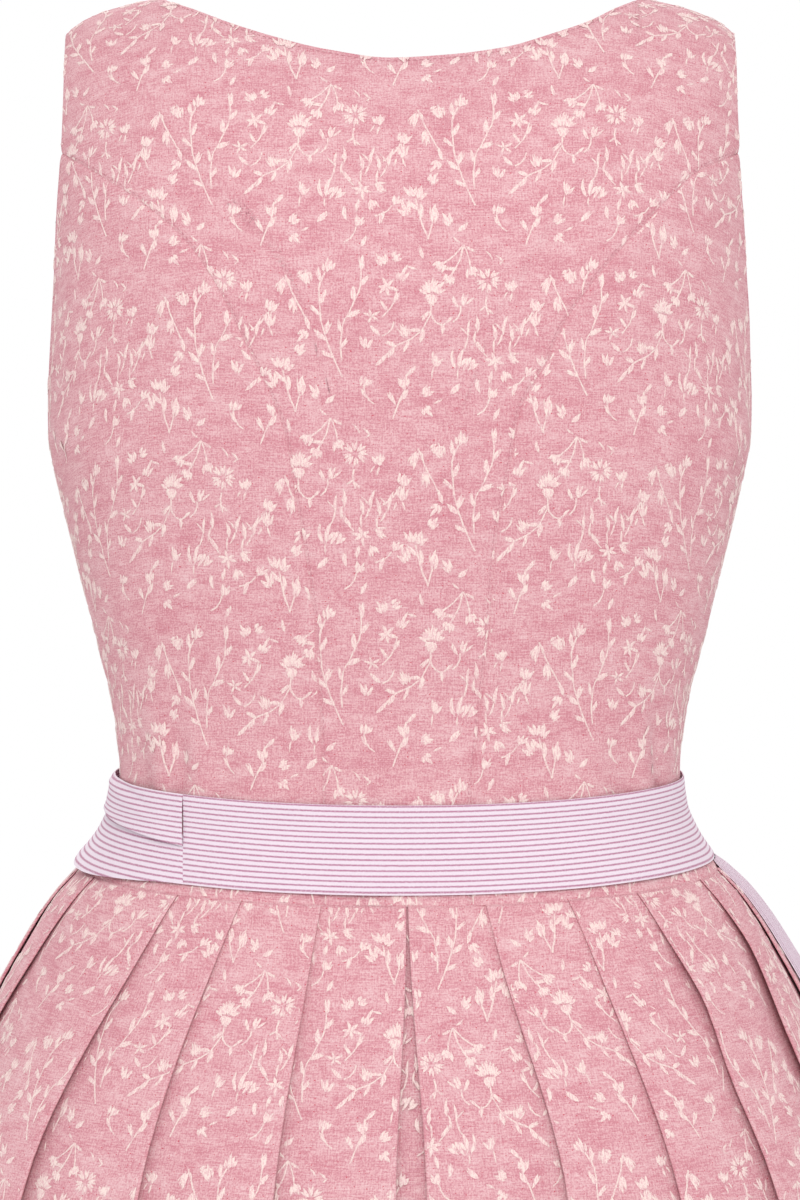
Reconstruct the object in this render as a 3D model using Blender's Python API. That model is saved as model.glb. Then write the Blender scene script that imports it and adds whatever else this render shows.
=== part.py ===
"""Sleeveless dirndl with its apron, filled out as if worn: bodice panels, pleated skirt widths, apron, band, ties and bow.

Units in the tables are millimetres; the objects are in metres. +Z is up, the wearer faces -Y, the wearer's left is +X.
The origin lies midway between the two shoulder straps, at the height where they rest on the shoulders."""

import bmesh
import bpy
import numpy as np
from mathutils import Matrix, Vector

MM = 0.001
BODICE_WALL = 1.5
SKIRT_WALL = 1.2
APRON_WALL = 1.2
SEAM_GAP = 0.3
LAY_GAP = 0.4  # between one layer of cloth and the layer on it
BAND_STAND = 0.9  # the band's stand-off from the bodice

WAIST_SEAM_BACK, WAIST_SEAM_SIDE, WAIST_SEAM_FRONT = -389.5, -383.5, -392.0
BAND_ABOVE_SEAM = 3.7  # strip of bodice that shows under the band
BAND_TOP_BACK, BAND_TOP_SIDE, BAND_TOP_FRONT = -346.7, -342.5, -349.0
SKIRT_HEM_Z = -1045.0
APRON_HEM_DEPTH = 620.0
SHOULDER_ROUND = 120.0  # how fast the cloth turns over the shoulder line
RING_POWER = 2.35  # 2 is an ellipse; more is squarer

# One row for each section of the filled-out garment, top to bottom.
# height, half width at the side, y of the widest point, y at centre back, y at centre front
SECTIONS = np.array(
    [
        (20, 157.0, 0, 106, -84),
        (-40, 157.0, 0, 110, -88),
        (-80, 157.0, 0, 112, -93),
        (-120, 157.5, -2, 112, -106),
        (-155, 158.0, -3, 110, -124),
        (-188, 157.6, -4, 107, -137),
        (-217, 152.0, -5, 103, -143),
        (-246, 145.2, -6, 98, -144),
        (-267, 140.3, -7, 94, -139),
        (-287, 135.3, -8, 90, -131),
        (-303, 131.3, -8, 87, -124),
        (-321, 128.2, -9, 85, -117),
        (-340, 126.4, -9, 84, -113),
        (-355, 127.8, -9, 85, -112),
        (-368, 133.0, -9, 88, -114),
        (-381, 142.0, -8, 92, -117),
        (-394, 154.5, -8, 100, -123),
        (-406, 163.5, -8, 108, -130),
        (-419, 171.5, -8, 116, -138),
        (-438, 182.4, -8, 127, -148),
        (-480, 203.0, -7, 147, -165),
        (-532, 224.0, -6, 166, -181),
        (-600, 247.0, -5, 188, -200),
        (-700, 275.0, -4, 216, -222),
        (-850, 305.0, -2, 246, -248),
        (-1045, 334.0, 0, 274, -272),
    ],
    float,
)
HEIGHT, HALF_WIDTH, SIDE_Y, BACK_Y, FRONT_Y = range(5)

# The shoulder line: distance from the centre, height
SHOULDER = np.array(
    [(0, 8), (95, 8), (107, 7), (123, 3.4), (135.5, -0.5), (147, -7), (151, -11), (158, -15)],
    float,
)
NECK_X, TIP_X = 106.5, 149.8
BACK_ROUND, FRONT_ROUND = (150.0, 2.2, 1.8), (110.0, 2.0, 1.8)  # depth, power, root

# Seams and edges of the panels: distance from the centre, height
BACK_NECK = [(106.5, 6.9), (95.5, 3.2), (75, -4.2), (55, -10.4), (32, -15.7), (5, -19.2), (-20, -18.3), (-45, -15.2), (-68, -8.6), (-84, -2.8), (-95, 2.6), (-106.5, 6.9)]
BACK_ARMHOLE = [(150.6, -62), (150.2, -45), (149.9, -28), (149.8, -9.8)]
BACK_ARMHOLE_LOW = [(157.6, -188), (156.8, -165), (155.4, -135), (153.4, -100), (151.6, -75), (150.6, -62)]
BACK_PRINCESS_LEFT = [(34.1, -389), (34.2, -347), (35.5, -305), (37.1, -271), (41.3, -237), (45.6, -211), (50.7, -181), (61.5, -155), (68.4, -141), (79.3, -119.5), (93.8, -99), (112, -83.5), (136.7, -69), (150.6, -62)]
BACK_PRINCESS_RIGHT = [(31.0, -389), (31.6, -345), (34.2, -317), (38.4, -278), (42.6, -226), (48.2, -196), (52, -173.5), (65, -149), (69.7, -138), (81.9, -119.5), (94.2, -105), (115.6, -83), (132.1, -69), (150.6, -62)]
FRONT_NECK = [(0, -171), (26, -170), (48, -165), (66, -154), (79, -136), (88, -108), (95, -70), (101, -35), (106.5, 6.9)]
FRONT_ARMHOLE = [(136.2, -112), (134.8, -92), (136.6, -66), (142, -36), (149.8, -9.8)]
FRONT_ARMHOLE_LOW = [(157.6, -188), (153.6, -177), (146, -160), (139.5, -138), (136.2, -112)]
FRONT_PRINCESS = [(72, -392), (70, -350), (75, -320), (83, -285), (92, -245), (100, -205), (112, -165), (126, -132), (136.2, -112)]
SIDE_SEAM = [(1.0, -383.5), (1.0, -355), (1.0, -321), (1.0, -287), (1.0, -246), (1.0, -217), (1.0, -188)]  # 1.0 is the full half width

# rows of the side and princess seams as shares of their length, closer at the waist; and rows of the armhole above them
SEAM_ROWS = np.array([0, 0.032, 0.064, 0.098, 0.135, 0.20, 0.29, 0.41, 0.55, 0.70, 0.85, 1.0])
ROWS_ARMHOLE = 4
CENTRE_ROWS = np.concatenate([SEAM_ROWS * 0.75, 0.75 + 0.25 * np.linspace(0, 1, ROWS_ARMHOLE + 1)[1:]])
RELAX, MEAN_RADIUS = 400, 140.0  # rounds, mm
COLUMNS_RIDGE, COLUMNS_NECK, COLUMNS_FRONT_NECK, COLUMNS_SIDE = 2, 8, 7, 4

# Pleats: place of each fold edge as a share of the half ring, from centre back to centre front, at the waist and 120 mm below
PLEATS_LEFT = [(-0.006, 0.003), (0.084, 0.087), (0.171, 0.187), (0.246, 0.280), (0.388, 0.425), (0.475, 0.482), (0.560, 0.562), (0.650, 0.650), (0.740, 0.738), (0.830, 0.828), (0.915, 0.915)]
PLEATS_RIGHT = [(0.009, 0.019), (0.092, 0.118), (0.182, 0.200), (0.265, 0.280), (0.371, 0.358), (0.448, 0.447), (0.540, 0.538), (0.630, 0.629), (0.720, 0.722), (0.810, 0.812), (0.905, 0.905)]
SIDE_PLEAT = 5  # the fold whose underlay holds the side seam
LAYER = SKIRT_WALL + LAY_GAP
# depth below the waist seam, height of a pleat's step, how deep the cloth is folded under
PLEAT_ROWS = np.array(
    [(0, 2 * LAYER, 25), (20, 3.6, 25), (55, 5.5, 23), (120, 9, 19), (230, 12, 14), (400, 15, 9), (655, 18, 6)],
    float,
)

# The apron panel: from just behind the wearer's right side to just before the left side
APRON_RIGHT, APRON_LEFT = 0.462, 0.56
APRON_FOLDS, APRON_COLUMNS = 8, 32
# depth below the waist seam, least stand-off from the skirt, height of the folds
APRON_ROWS = np.array(
    [(-BAND_ABOVE_SEAM + SEAM_GAP, 0.5, 0.5), (0, 1.6, 1.0), (20, 2.0, 2.0), (55, 2.2, 3.5), (120, 2.4, 6.0), (230, 2.8, 8.0), (400, 3.0, 9.5), (APRON_HEM_DEPTH, 3.0, 11.0)],
    float,
)

TIE_SEAM_X = 95.0
BAND_END = np.radians(-257.0)
KNOT_ANGLE = np.radians(156.0)
KNOT_Z = -369.0
TIE_FRONT_ANGLE = np.radians(171.0)
ARC_PER_RADIAN = 128.0  # length along the front per radian of angle
KNOT_SIZE = (25.0, 15.0, 30.0)
TAIL_LENGTH, TAIL_WIDTH = 430.0, 60.0
LOOP_LENGTH, LOOP_WIDTH = 92.0, 64.0

BUTTON_RADIUS, BUTTON_THICKNESS = 7.0, 2.4
BUTTON_HEIGHTS = [-184, -214, -244, -274, -304, -334]
PLACKET_HALF_WIDTH, PLACKET_STAND = 11.0, 0.6

JACQUARD, STRIPE, SHELL = (0.78, 0.45, 0.50), (0.80, 0.70, 0.78), (0.86, 0.82, 0.78)


# ---------------------------------------------------------------- the filled-out form


def smooth(table_x, table_y, x):
    """A smooth curve through a table's points that never overshoots them."""
    xs, ys = np.asarray(table_x, float), np.asarray(table_y, float)
    if xs[0] > xs[-1]:
        xs, ys = xs[::-1], ys[::-1]
    x = np.asarray(x, float)
    h, d = np.diff(xs), np.diff(ys) / np.diff(xs)
    m = np.empty_like(ys)
    m[0], m[-1] = d[0], d[-1]
    w1, w2 = 2 * h[1:] + h[:-1], h[1:] + 2 * h[:-1]
    with np.errstate(divide="ignore", invalid="ignore"):
        mean = (w1 + w2) / (w1 / d[:-1] + w2 / d[1:])
    m[1:-1] = np.where(d[:-1] * d[1:] > 0, mean, 0)
    i = np.clip(np.searchsorted(xs, x) - 1, 0, len(h) - 1)
    t = np.clip((x - xs[i]) / h[i], 0, 1)
    return (1 + 2 * t) * (1 - t) ** 2 * ys[i] + t * (1 - t) ** 2 * h[i] * m[i] + t * t * (3 - 2 * t) * ys[i + 1] + t * t * (t - 1) * h[i] * m[i + 1]


def section(column, z):
    return smooth(SECTIONS[:, HEIGHT], SECTIONS[:, column], z)


def shoulder_height(x):
    return smooth(SHOULDER[:, 0], SHOULDER[:, 1], np.abs(x))


def rounding(h, shape):
    depth, power, root = shape
    return (1 - (1 - np.clip(h / depth, 0, 1)) ** power) ** (1 / root)


def ring_point(angle, z):
    """The form at a height; angle 0 is centre back, +90 degrees the wearer's left side, 180 centre front."""
    angle, z = np.broadcast_arrays(np.asarray(angle, float), np.asarray(z, float))
    side, x = section(SIDE_Y, z), section(HALF_WIDTH, z) * np.sin(angle)
    h = shoulder_height(x) - z
    round_off = np.maximum(1 - np.abs(np.sin(angle)) ** RING_POWER, 0) ** (1 / RING_POWER)
    back = side + (section(BACK_Y, z) - side) * rounding(h, BACK_ROUND) * round_off
    front = side + (section(FRONT_Y, z) - side) * rounding(h, FRONT_ROUND) * round_off
    return np.stack([x, np.where(np.cos(angle) >= 0, back, front), z], -1)


def shell_point(angle, drop, side):
    """The form over the shoulders: drop runs down from the shoulder line along the cloth. side is 1 at the back, -1 at the front."""
    h = -SHOULDER_ROUND / 2 + np.sqrt(SHOULDER_ROUND**2 / 4 + drop**2)
    z = -h
    for _ in range(6):
        x = section(HALF_WIDTH, z) * np.sin(angle)
        z = shoulder_height(x) - h
    middle = section(SIDE_Y, z)
    round_off = np.maximum(1 - np.abs(np.sin(angle)) ** RING_POWER, 0) ** (1 / RING_POWER)
    deep, shape = (BACK_Y, BACK_ROUND) if side > 0 else (FRONT_Y, FRONT_ROUND)
    y = middle + (section(deep, z) - middle) * rounding(h, shape) * round_off
    return np.stack([x, y, z], -1)


def shell_normal(angle, drop, side):
    e, quarter = 1e-3, np.pi / 2
    across = shell_point(np.minimum(angle + e, quarter), drop, side) - shell_point(np.maximum(angle - e, -quarter), drop, side)
    down = shell_point(angle, drop + 0.1, side) - shell_point(angle, np.maximum(drop - 0.1, 0), side)
    n = np.cross(across, down) * side
    return n / np.linalg.norm(n, axis=-1, keepdims=True)


def place_on_form(x, z):
    """From a distance to the centre and a height to the form's own coordinates."""
    x, z = np.asarray(x, float), np.asarray(z, float)
    angle = np.arcsin(np.clip(x / section(HALF_WIDTH, z), -1, 1))
    h = np.maximum(shoulder_height(x) - z, 0)
    return np.stack([angle, np.sqrt(h * h + SHOULDER_ROUND * h)], -1)


def seam_height(angle, back, side, front):
    c, s = np.cos(angle), np.sin(angle) ** 2
    return np.where(c >= 0, back, front) * (1 - s) + side * s


def waist_seam(angle):
    return seam_height(angle, WAIST_SEAM_BACK, WAIST_SEAM_SIDE, WAIST_SEAM_FRONT)


def band_top(angle):
    return seam_height(angle, BAND_TOP_BACK, BAND_TOP_SIDE, BAND_TOP_FRONT)


# ---------------------------------------------------------------- walls of cloth


def add_object(name, verts, faces, colour, roughness=0.85, flat=False):
    mesh = bpy.data.meshes.new(name)
    mesh.from_pydata((np.asarray(verts, float) * MM).tolist(), [], faces)
    mesh.validate()
    bm = bmesh.new()
    bm.from_mesh(mesh)
    bmesh.ops.recalc_face_normals(bm, faces=bm.faces)
    bm.to_mesh(mesh)
    bm.free()
    if not flat:
        mesh.shade_smooth()
        mesh.set_sharp_from_angle(angle=np.radians(40))
    obj = bpy.data.objects.new(name, mesh)
    bpy.context.scene.collection.objects.link(obj)
    obj.data.materials.append(cloth_material(name, colour, roughness))
    obj.parent = ORIGIN
    return obj


def cloth_material(name, colour, roughness):
    mat = bpy.data.materials.new(name)
    mat.use_nodes = True
    shader = mat.node_tree.nodes["Principled BSDF"]
    shader.inputs["Base Color"].default_value = (*colour, 1)
    shader.inputs["Roughness"].default_value = roughness
    shader.inputs["Metallic"].default_value = 0
    return mat


def wall(name, outer, inner, colour):
    """One closed wall between two grids of points of the same shape."""
    rows, columns = outer.shape[:2]
    verts = np.concatenate([outer.reshape(-1, 3), inner.reshape(-1, 3)])
    n = rows * columns
    faces = []
    for r in range(rows - 1):
        for c in range(columns - 1):
            a, b, d, e = r * columns + c, r * columns + c + 1, (r + 1) * columns + c + 1, (r + 1) * columns + c
            # both sides are split along the same diagonal, so a twisted wall keeps its thickness
            if np.linalg.norm(verts[a] - verts[d]) <= np.linalg.norm(verts[b] - verts[e]):
                faces += [(a, b, d), (a, d, e), (n + a, n + d, n + b), (n + a, n + e, n + d)]
            else:
                faces += [(a, b, e), (b, d, e), (n + a, n + e, n + b), (n + b, n + e, n + d)]
    rim = [c for c in range(columns)] + [r * columns + columns - 1 for r in range(1, rows)]
    rim += [(rows - 1) * columns + c for c in range(columns - 2, -1, -1)] + [r * columns for r in range(rows - 2, 0, -1)]
    for a, b in zip(rim, rim[1:] + rim[:1]):
        faces.append((b, a, n + a, n + b))
    return add_object(name, verts, faces, colour)


def along(points, shares):
    """Points at the given shares of a smooth line through the given ones; a whole number spreads that many evenly."""
    shares = np.linspace(0, 1, shares + 1) if isinstance(shares, int) else shares
    points = np.asarray(points, float)
    length = np.concatenate([[0], np.cumsum(np.linalg.norm(np.diff(points, axis=0), axis=1))])
    fine = np.linspace(0, length[-1], 400)
    curve = np.stack([smooth(length, points[:, k], fine) for k in range(points.shape[1])], -1)
    step = np.concatenate([[0], np.cumsum(np.linalg.norm(np.diff(curve, axis=0), axis=1))])
    want = shares * step[-1]
    return np.stack([np.interp(want, step, curve[:, k]) for k in range(points.shape[1])], -1)


def edge(points, shares, sign=1.0, side_seam=False):
    """A seam or edge in the form's own coordinates."""
    points = np.asarray(points, float)
    line = along(points, shares)
    if side_seam:
        z = points[0][1] + (points[-1][1] - points[0][1]) * shares
        line = np.stack([section(HALF_WIDTH, z), z], -1)
    place = place_on_form(line[:, 0], line[:, 1])
    place[:, 0] *= sign
    if side_seam:
        place[:, 0] = sign * np.pi / 2
    return place


def ridge(count, sign):
    x = np.linspace(TIP_X, NECK_X, count + 1)
    place = place_on_form(x, shoulder_height(x))
    place[:, 0] *= sign
    place[:, 1] = 0
    return place


def bottom_edge(start, end, count, side):
    """Along the waist seam between two places."""
    angle = np.linspace(start[0], end[0], count + 1)
    z = waist_seam(angle if side > 0 else np.pi - angle)
    h = shoulder_height(section(HALF_WIDTH, z) * np.sin(angle)) - z
    return np.stack([angle, np.sqrt(h * h + SHOULDER_ROUND * h)], -1)


def patch(left, right, bottom, top, shares=SEAM_ROWS):
    """The grid of places inside four edges. left and right run upwards, bottom and top from left to right. shares are
    the heights of the rows; the inner points relax until the grid is even between its edges and folds over nowhere."""
    u = np.linspace(0, 1, len(bottom))[None, :, None]
    v = shares[:, None, None]
    grid = (1 - u) * left[:, None] + u * right[:, None] + (1 - v) * bottom[None] + v * top[None]
    grid -= (1 - u) * (1 - v) * bottom[0] + u * (1 - v) * bottom[-1] + (1 - u) * v * top[0] + u * v * top[-1]
    grid = grid * (MEAN_RADIUS, 1)
    below, above = np.diff(shares)[:-1, None, None], np.diff(shares)[1:, None, None]
    beside = u[0, 1, 0]
    for _ in range(RELAX):
        right_of, left_of, over, under = grid[1:-1, 2:], grid[1:-1, :-2], grid[2:, 1:-1], grid[:-2, 1:-1]
        across, up = (right_of - left_of) / (2 * beside), (over - under) / (above + below)
        twist = (grid[2:, 2:] - grid[2:, :-2] - grid[:-2, 2:] + grid[:-2, :-2]) / (2 * beside * (above + below))
        alpha, gamma = (up * up).sum(-1, keepdims=True), (across * across).sum(-1, keepdims=True)
        beta = (across * up).sum(-1, keepdims=True)
        level = alpha / beside**2
        upright = 2 * gamma / (above + below)
        total = level * (right_of + left_of) + upright * (over / above + under / below) - 2 * beta * twist
        grid[1:-1, 1:-1] += 0.6 * (total / (2 * level + upright * (1 / above + 1 / below)) - grid[1:-1, 1:-1])
    return grid / (MEAN_RADIUS, 1)


def pull_in(grid, by, edges):
    """Moves the named edges of a grid of points towards its middle, to leave half of a seam's gap."""
    out = grid.copy()
    for name, line, inner in (
        ("bottom", np.s_[0, :], np.s_[1, :]),
        ("top", np.s_[-1, :], np.s_[-2, :]),
        ("left", np.s_[:, 0], np.s_[:, 1]),
        ("right", np.s_[:, -1], np.s_[:, -2]),
    ):
        if name in edges:
            way, run = grid[inner] - grid[line], np.gradient(grid[line], axis=0)
            run /= np.linalg.norm(run, axis=-1, keepdims=True)
            way -= run * (way * run).sum(-1, keepdims=True)
            out[line] += by * way / np.linalg.norm(way, axis=-1, keepdims=True)
    return out


def panel(name, places, side, edges=("bottom", "top", "left", "right")):
    angle, drop = places[..., 0], np.maximum(places[..., 1], 0)
    points, normals = shell_point(angle, drop, side), shell_normal(angle, drop, side)
    outer = pull_in(points, SEAM_GAP / 2, edges)
    normals[0, :, 2] = 0  # the waist edge is cut level
    normals[0] /= np.linalg.norm(normals[0], axis=-1, keepdims=True)
    return wall(name, outer, outer - normals * BODICE_WALL, JACQUARD)


def back_panels():
    middle = {}
    for sign, princess in ((1, BACK_PRINCESS_LEFT), (-1, BACK_PRINCESS_RIGHT)):
        seam = edge(princess, SEAM_ROWS, sign)
        seam[0, 1] = bottom_edge(seam[0], seam[0], 0, 1)[0, 1]
        armhole = edge(BACK_ARMHOLE, ROWS_ARMHOLE, sign)
        armhole[-1] = ridge(COLUMNS_RIDGE, sign)[0]
        side = edge(SIDE_SEAM, SEAM_ROWS, sign, side_seam=True)
        low = edge(BACK_ARMHOLE_LOW, COLUMNS_SIDE, sign)
        low[0], low[-1] = side[-1], seam[-1]
        side[0, 1] = bottom_edge(side[0], side[0], 0, 1)[0, 1]
        bottom = bottom_edge(side[0], seam[0], COLUMNS_SIDE, 1)
        name = "back_side_left" if sign > 0 else "back_side_right"
        panel(name, patch(side, seam, bottom, low), 1)
        middle[sign] = np.concatenate([seam, armhole[1:]])
    neck = edge_both(BACK_NECK, COLUMNS_NECK)
    top = np.concatenate([ridge(COLUMNS_RIDGE, 1), neck[1:-1], ridge(COLUMNS_RIDGE, -1)[::-1]])
    bottom = bottom_edge(middle[1][0], middle[-1][0], len(top) - 1, 1)
    panel("back_center", patch(middle[1], middle[-1], bottom, top, CENTRE_ROWS), 1)


def edge_both(points, count):
    line = along(points, count)
    place = place_on_form(line[:, 0], line[:, 1])
    return place


def front_panels():
    for sign in (1, -1):
        tag = "left" if sign > 0 else "right"
        seam = edge(FRONT_PRINCESS, SEAM_ROWS, sign)
        seam[0, 1] = bottom_edge(seam[0], seam[0], 0, -1)[0, 1]
        armhole = edge(FRONT_ARMHOLE, ROWS_ARMHOLE, sign)
        shoulder = ridge(COLUMNS_RIDGE, sign)
        armhole[-1] = shoulder[0]
        side = edge(SIDE_SEAM, SEAM_ROWS, sign, side_seam=True)
        low = edge(FRONT_ARMHOLE_LOW, COLUMNS_SIDE, sign)
        low[0], low[-1] = side[-1], seam[-1]
        side[0, 1] = bottom_edge(side[0], side[0], 0, -1)[0, 1]
        bottom = bottom_edge(side[0], seam[0], COLUMNS_SIDE, -1)
        panel("front_side_" + tag, patch(side, seam, bottom, low), -1)
        outer = np.concatenate([seam, armhole[1:]])
        neck = edge(FRONT_NECK, COLUMNS_FRONT_NECK, sign)[::-1]
        neck[0] = shoulder[-1]
        top = np.concatenate([shoulder, neck[1:]])
        z = WAIST_SEAM_FRONT + (FRONT_NECK[0][1] - WAIST_SEAM_FRONT) * CENTRE_ROWS
        centre = place_on_form(0 * z, z)
        bottom = bottom_edge(outer[0], centre[0], len(top) - 1, -1)
        panel("front_" + tag, patch(outer, centre, bottom, top, CENTRE_ROWS), -1)


def placket_and_buttons():
    z = WAIST_SEAM_FRONT + (FRONT_NECK[0][1] - WAIST_SEAM_FRONT) * CENTRE_ROWS
    x = np.array([-PLACKET_HALF_WIDTH, 0, PLACKET_HALF_WIDTH])
    places = place_on_form(*np.meshgrid(x, z))
    angle, drop = places[..., 0], places[..., 1]
    points, normals = shell_point(angle, drop, -1), shell_normal(angle, drop, -1)
    points = pull_in(points, SEAM_GAP, ("bottom", "top"))
    wall("front_placket", points + normals * (PLACKET_STAND + SKIRT_WALL), points + normals * PLACKET_STAND, JACQUARD)

    profile = [(0, 0), (6.2, 0), (BUTTON_RADIUS, 0.7), (BUTTON_RADIUS, 1.7), (6.0, BUTTON_THICKNESS), (4.6, 1.7), (0, 1.7)]
    count = 16
    turn = [2 * np.pi * k / count for k in range(count)]
    verts, faces = [(0, 0, profile[0][1])], []
    for r, h in profile[1:-1]:
        verts += [(r * np.cos(t), r * np.sin(t), h) for t in turn]
    verts.append((0, 0, profile[-1][1]))
    for k in range(count):
        nxt = (k + 1) % count
        faces.append((0, 1 + nxt, 1 + k))
        for ring in range(len(profile) - 3):
            a, b = 1 + ring * count, 1 + (ring + 1) * count
            faces.append((a + k, a + nxt, b + nxt, b + k))
        last = 1 + (len(profile) - 3) * count
        faces.append((last + k, last + nxt, len(verts) - 1))
    first = None
    for number, z in enumerate(BUTTON_HEIGHTS, 1):
        place = place_on_form(0.0, float(z))
        at = shell_point(place[0], place[1], -1)
        out = shell_normal(place[0], place[1], -1)
        name = f"button_{number}"
        if first is None:
            first = add_object(name, verts, faces, SHELL, 0.3)
            obj = first
        else:
            obj = bpy.data.objects.new(name, first.data.copy())
            obj.data.materials.clear()
            obj.data.materials.append(cloth_material(name, SHELL, 0.3))
            bpy.context.scene.collection.objects.link(obj)
            obj.parent = ORIGIN
        obj.rotation_mode = "QUATERNION"
        obj.rotation_quaternion = Vector((0, 0, 1)).rotation_difference(Vector(out))
        obj.location = Vector((at + out * (PLACKET_STAND + SKIRT_WALL + 0.6)) * MM)


# ---------------------------------------------------------------- skirt


def skirt_ring(depth, samples=721):
    """Half of the ring at a depth below the waist seam, from centre back to centre front on the left: points, outward
    normals and length along it."""
    angle = np.linspace(0, np.pi, samples)
    share = depth / (WAIST_SEAM_BACK - SKIRT_HEM_Z)
    top = waist_seam(angle)
    z = top + (SKIRT_HEM_Z - WAIST_SEAM_BACK) * share + (WAIST_SEAM_BACK - top) * np.clip(share, 0, 1)
    points = ring_point(angle, z)
    way = np.gradient(points, axis=0)
    normal = np.stack([-way[:, 1], way[:, 0], 0 * way[:, 0]], -1)
    normal /= np.linalg.norm(normal, axis=1, keepdims=True)
    length = np.concatenate([[0], np.cumsum(np.linalg.norm(np.diff(points, axis=0), axis=1))])
    return points, normal, length


def on_ring(ring, s, out):
    """Points at signed lengths s from centre back (left is positive), moved out of the ring."""
    points, normal, length = ring
    s, out = np.asarray(s, float), np.asarray(out, float)
    end = length[-1]
    across = np.sign(s) * np.where(np.abs(s) > end, -1, 1)
    where = np.where(np.abs(s) > end, 2 * end - np.abs(s), np.abs(s))
    p = np.stack([np.interp(where, length, points[:, k]) for k in range(3)], -1)
    n = np.stack([np.interp(where, length, normal[:, k]) for k in range(3)], -1)
    n = -n if n[0].dot(p[0] - np.array([0, 0, p[0][2]])) < 0 else n
    across = np.where(s == 0, 1, across)
    p[..., 0] *= across
    n[..., 0] *= across
    return p + n * out[..., None]


def fold_places(table, depth, half):
    share = np.clip(depth / 120.0, 0, 1)
    share = share * share * (3 - 2 * share)
    table = np.asarray(table)
    return (table[:, 0] * (1 - share) + table[:, 1] * share) * half


def half_section(table, depth, half):
    """The pleats' cut through one half of the skirt: (length from centre back, stand-off) of the cloth's middle line, from
    the box pleat's underlay out to centre front, and the index where the side seam falls."""
    step, under = (float(smooth(PLEAT_ROWS[:, 0], PLEAT_ROWS[:, k], depth)) for k in (1, 2))
    folds = fold_places(table, depth, half)
    line, seam = [], None
    for k, fold in enumerate(folds):
        gap = (folds[k + 1] if k + 1 < len(folds) else half) - fold
        deep = min(under, 0.7 * gap)
        if k > 0:
            line.append((fold, -step))
        line.append((fold + deep, -step))
        if k == SIDE_PLEAT:
            seam = len(line)
        line.append((fold + deep, -step + LAYER))
        line.append((fold, -LAYER))
        line.append((fold, 0.0))
        line.append((fold + deep, -min(0.35 * step * deep / gap, step - 2 * LAYER)))
    line.append((half - SEAM_GAP / 2, -0.5 * step))
    return np.array(line), seam


def offset_line(line, by):
    """A line moved sideways in its own plane, with mitred corners."""
    way = np.diff(line, axis=0)
    way /= np.linalg.norm(way, axis=1, keepdims=True)
    side = np.stack([-way[:, 1], way[:, 0]], -1)
    first, last = np.vstack([side[:1], side]), np.vstack([side, side[-1:]])
    middle = first + last
    scale = 1 / np.maximum(0.5 * (middle * middle).sum(1, keepdims=True), 0.3)
    return line + by * middle * scale


def skirt():
    pieces = {"skirt_back": [], "skirt_front_left": [], "skirt_front_right": []}
    for row, (depth, _, _) in enumerate(PLEAT_ROWS):
        ring = skirt_ring(depth + (SEAM_GAP if row == 0 else 0))
        half = ring[2][-1]
        left, cut_left = half_section(PLEATS_LEFT, depth, half)
        right, cut_right = half_section(PLEATS_RIGHT, depth, half)
        middle_line = np.concatenate([(right[:cut_right] * (-1, 1))[::-1], left[:cut_left]])
        for name, line, mirror in (
            ("skirt_back", middle_line, 1),
            ("skirt_front_left", left[cut_left:], 1),
            ("skirt_front_right", right[cut_right:], -1),
        ):
            line = line + (0, -SKIRT_WALL / 2)
            outer, inner = offset_line(line, SKIRT_WALL / 2), offset_line(line, -SKIRT_WALL / 2)
            pieces[name].append([on_ring(ring, side[:, 0] * mirror, side[:, 1]) for side in (outer, inner)])
    for name, rows in pieces.items():
        wall(name, np.array([r[0] for r in rows]), np.array([r[1] for r in rows]), JACQUARD)


# ---------------------------------------------------------------- apron


def apron():
    share = np.linspace(0, 1, APRON_COLUMNS + 1)
    outer, inner = [], []
    for depth, least, fold in APRON_ROWS:
        ring = skirt_ring(depth)
        half = ring[2][-1]
        s = -(APRON_RIGHT + share * (2 - APRON_RIGHT - APRON_LEFT)) * half
        wave = 0.5 - 0.5 * np.cos(2 * np.pi * (APRON_FOLDS * share + 0.12 * np.sin(4.1 * np.pi * share) * 1.0))
        stand = least + fold * wave
        if depth < 0:
            stand = stand + over_placket(on_ring(ring, s, stand)[:, 0], 1.9)
        inner.append(on_ring(ring, s, stand))
        outer.append(on_ring(ring, s, stand + APRON_WALL))
    wall("apron_panel", np.array(outer), np.array(inner), STRIPE)


def form_normal(angle, z):
    e = 1e-3
    across = ring_point(angle + e, z) - ring_point(angle - e, z)
    up = ring_point(angle, z + 0.5) - ring_point(angle, z - 0.5)
    n = np.cross(across, up)
    n /= np.linalg.norm(n, axis=-1, keepdims=True)
    facing = np.stack([np.sin(angle), np.cos(angle), 0 * angle], -1)
    return n * np.sign((n * facing).sum(-1, keepdims=True))


def band_place(angle, share):
    """share 0 is the band's lower edge, 1 its upper edge."""
    low, high = waist_seam(angle) + BAND_ABOVE_SEAM, band_top(angle)
    return low + (high - low) * share


def over_placket(x, height):
    """Lifts what crosses the centre front clear of the placket."""
    return height * np.exp(-((x / 28) ** 4))


def band_stand(angle):
    return BAND_STAND + over_placket(130 * np.sin(angle), 1.8) * (np.cos(angle) < 0)


def tie_seam_angle(share):
    """The upright seam where the tie is sewn to the band, at a constant distance from the centre."""
    angle = np.full(np.shape(share), 0.8)
    for _ in range(8):
        angle = np.arcsin(TIE_SEAM_X / section(HALF_WIDTH, band_place(angle, share)))
    return angle


def band():
    across, share = np.meshgrid(np.linspace(0, 1, 41), [0, 0.25, 0.5, 0.75, 1])
    start = tie_seam_angle(share) - np.radians(0.1)
    angle = start + (BAND_END - start) * across
    z = band_place(angle, share)
    points, normals = ring_point(angle, z), form_normal(angle, z)
    stand = band_stand(angle)[..., None]
    wall("apron_band", points + normals * (stand + APRON_WALL), points + normals * stand, STRIPE)


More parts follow.
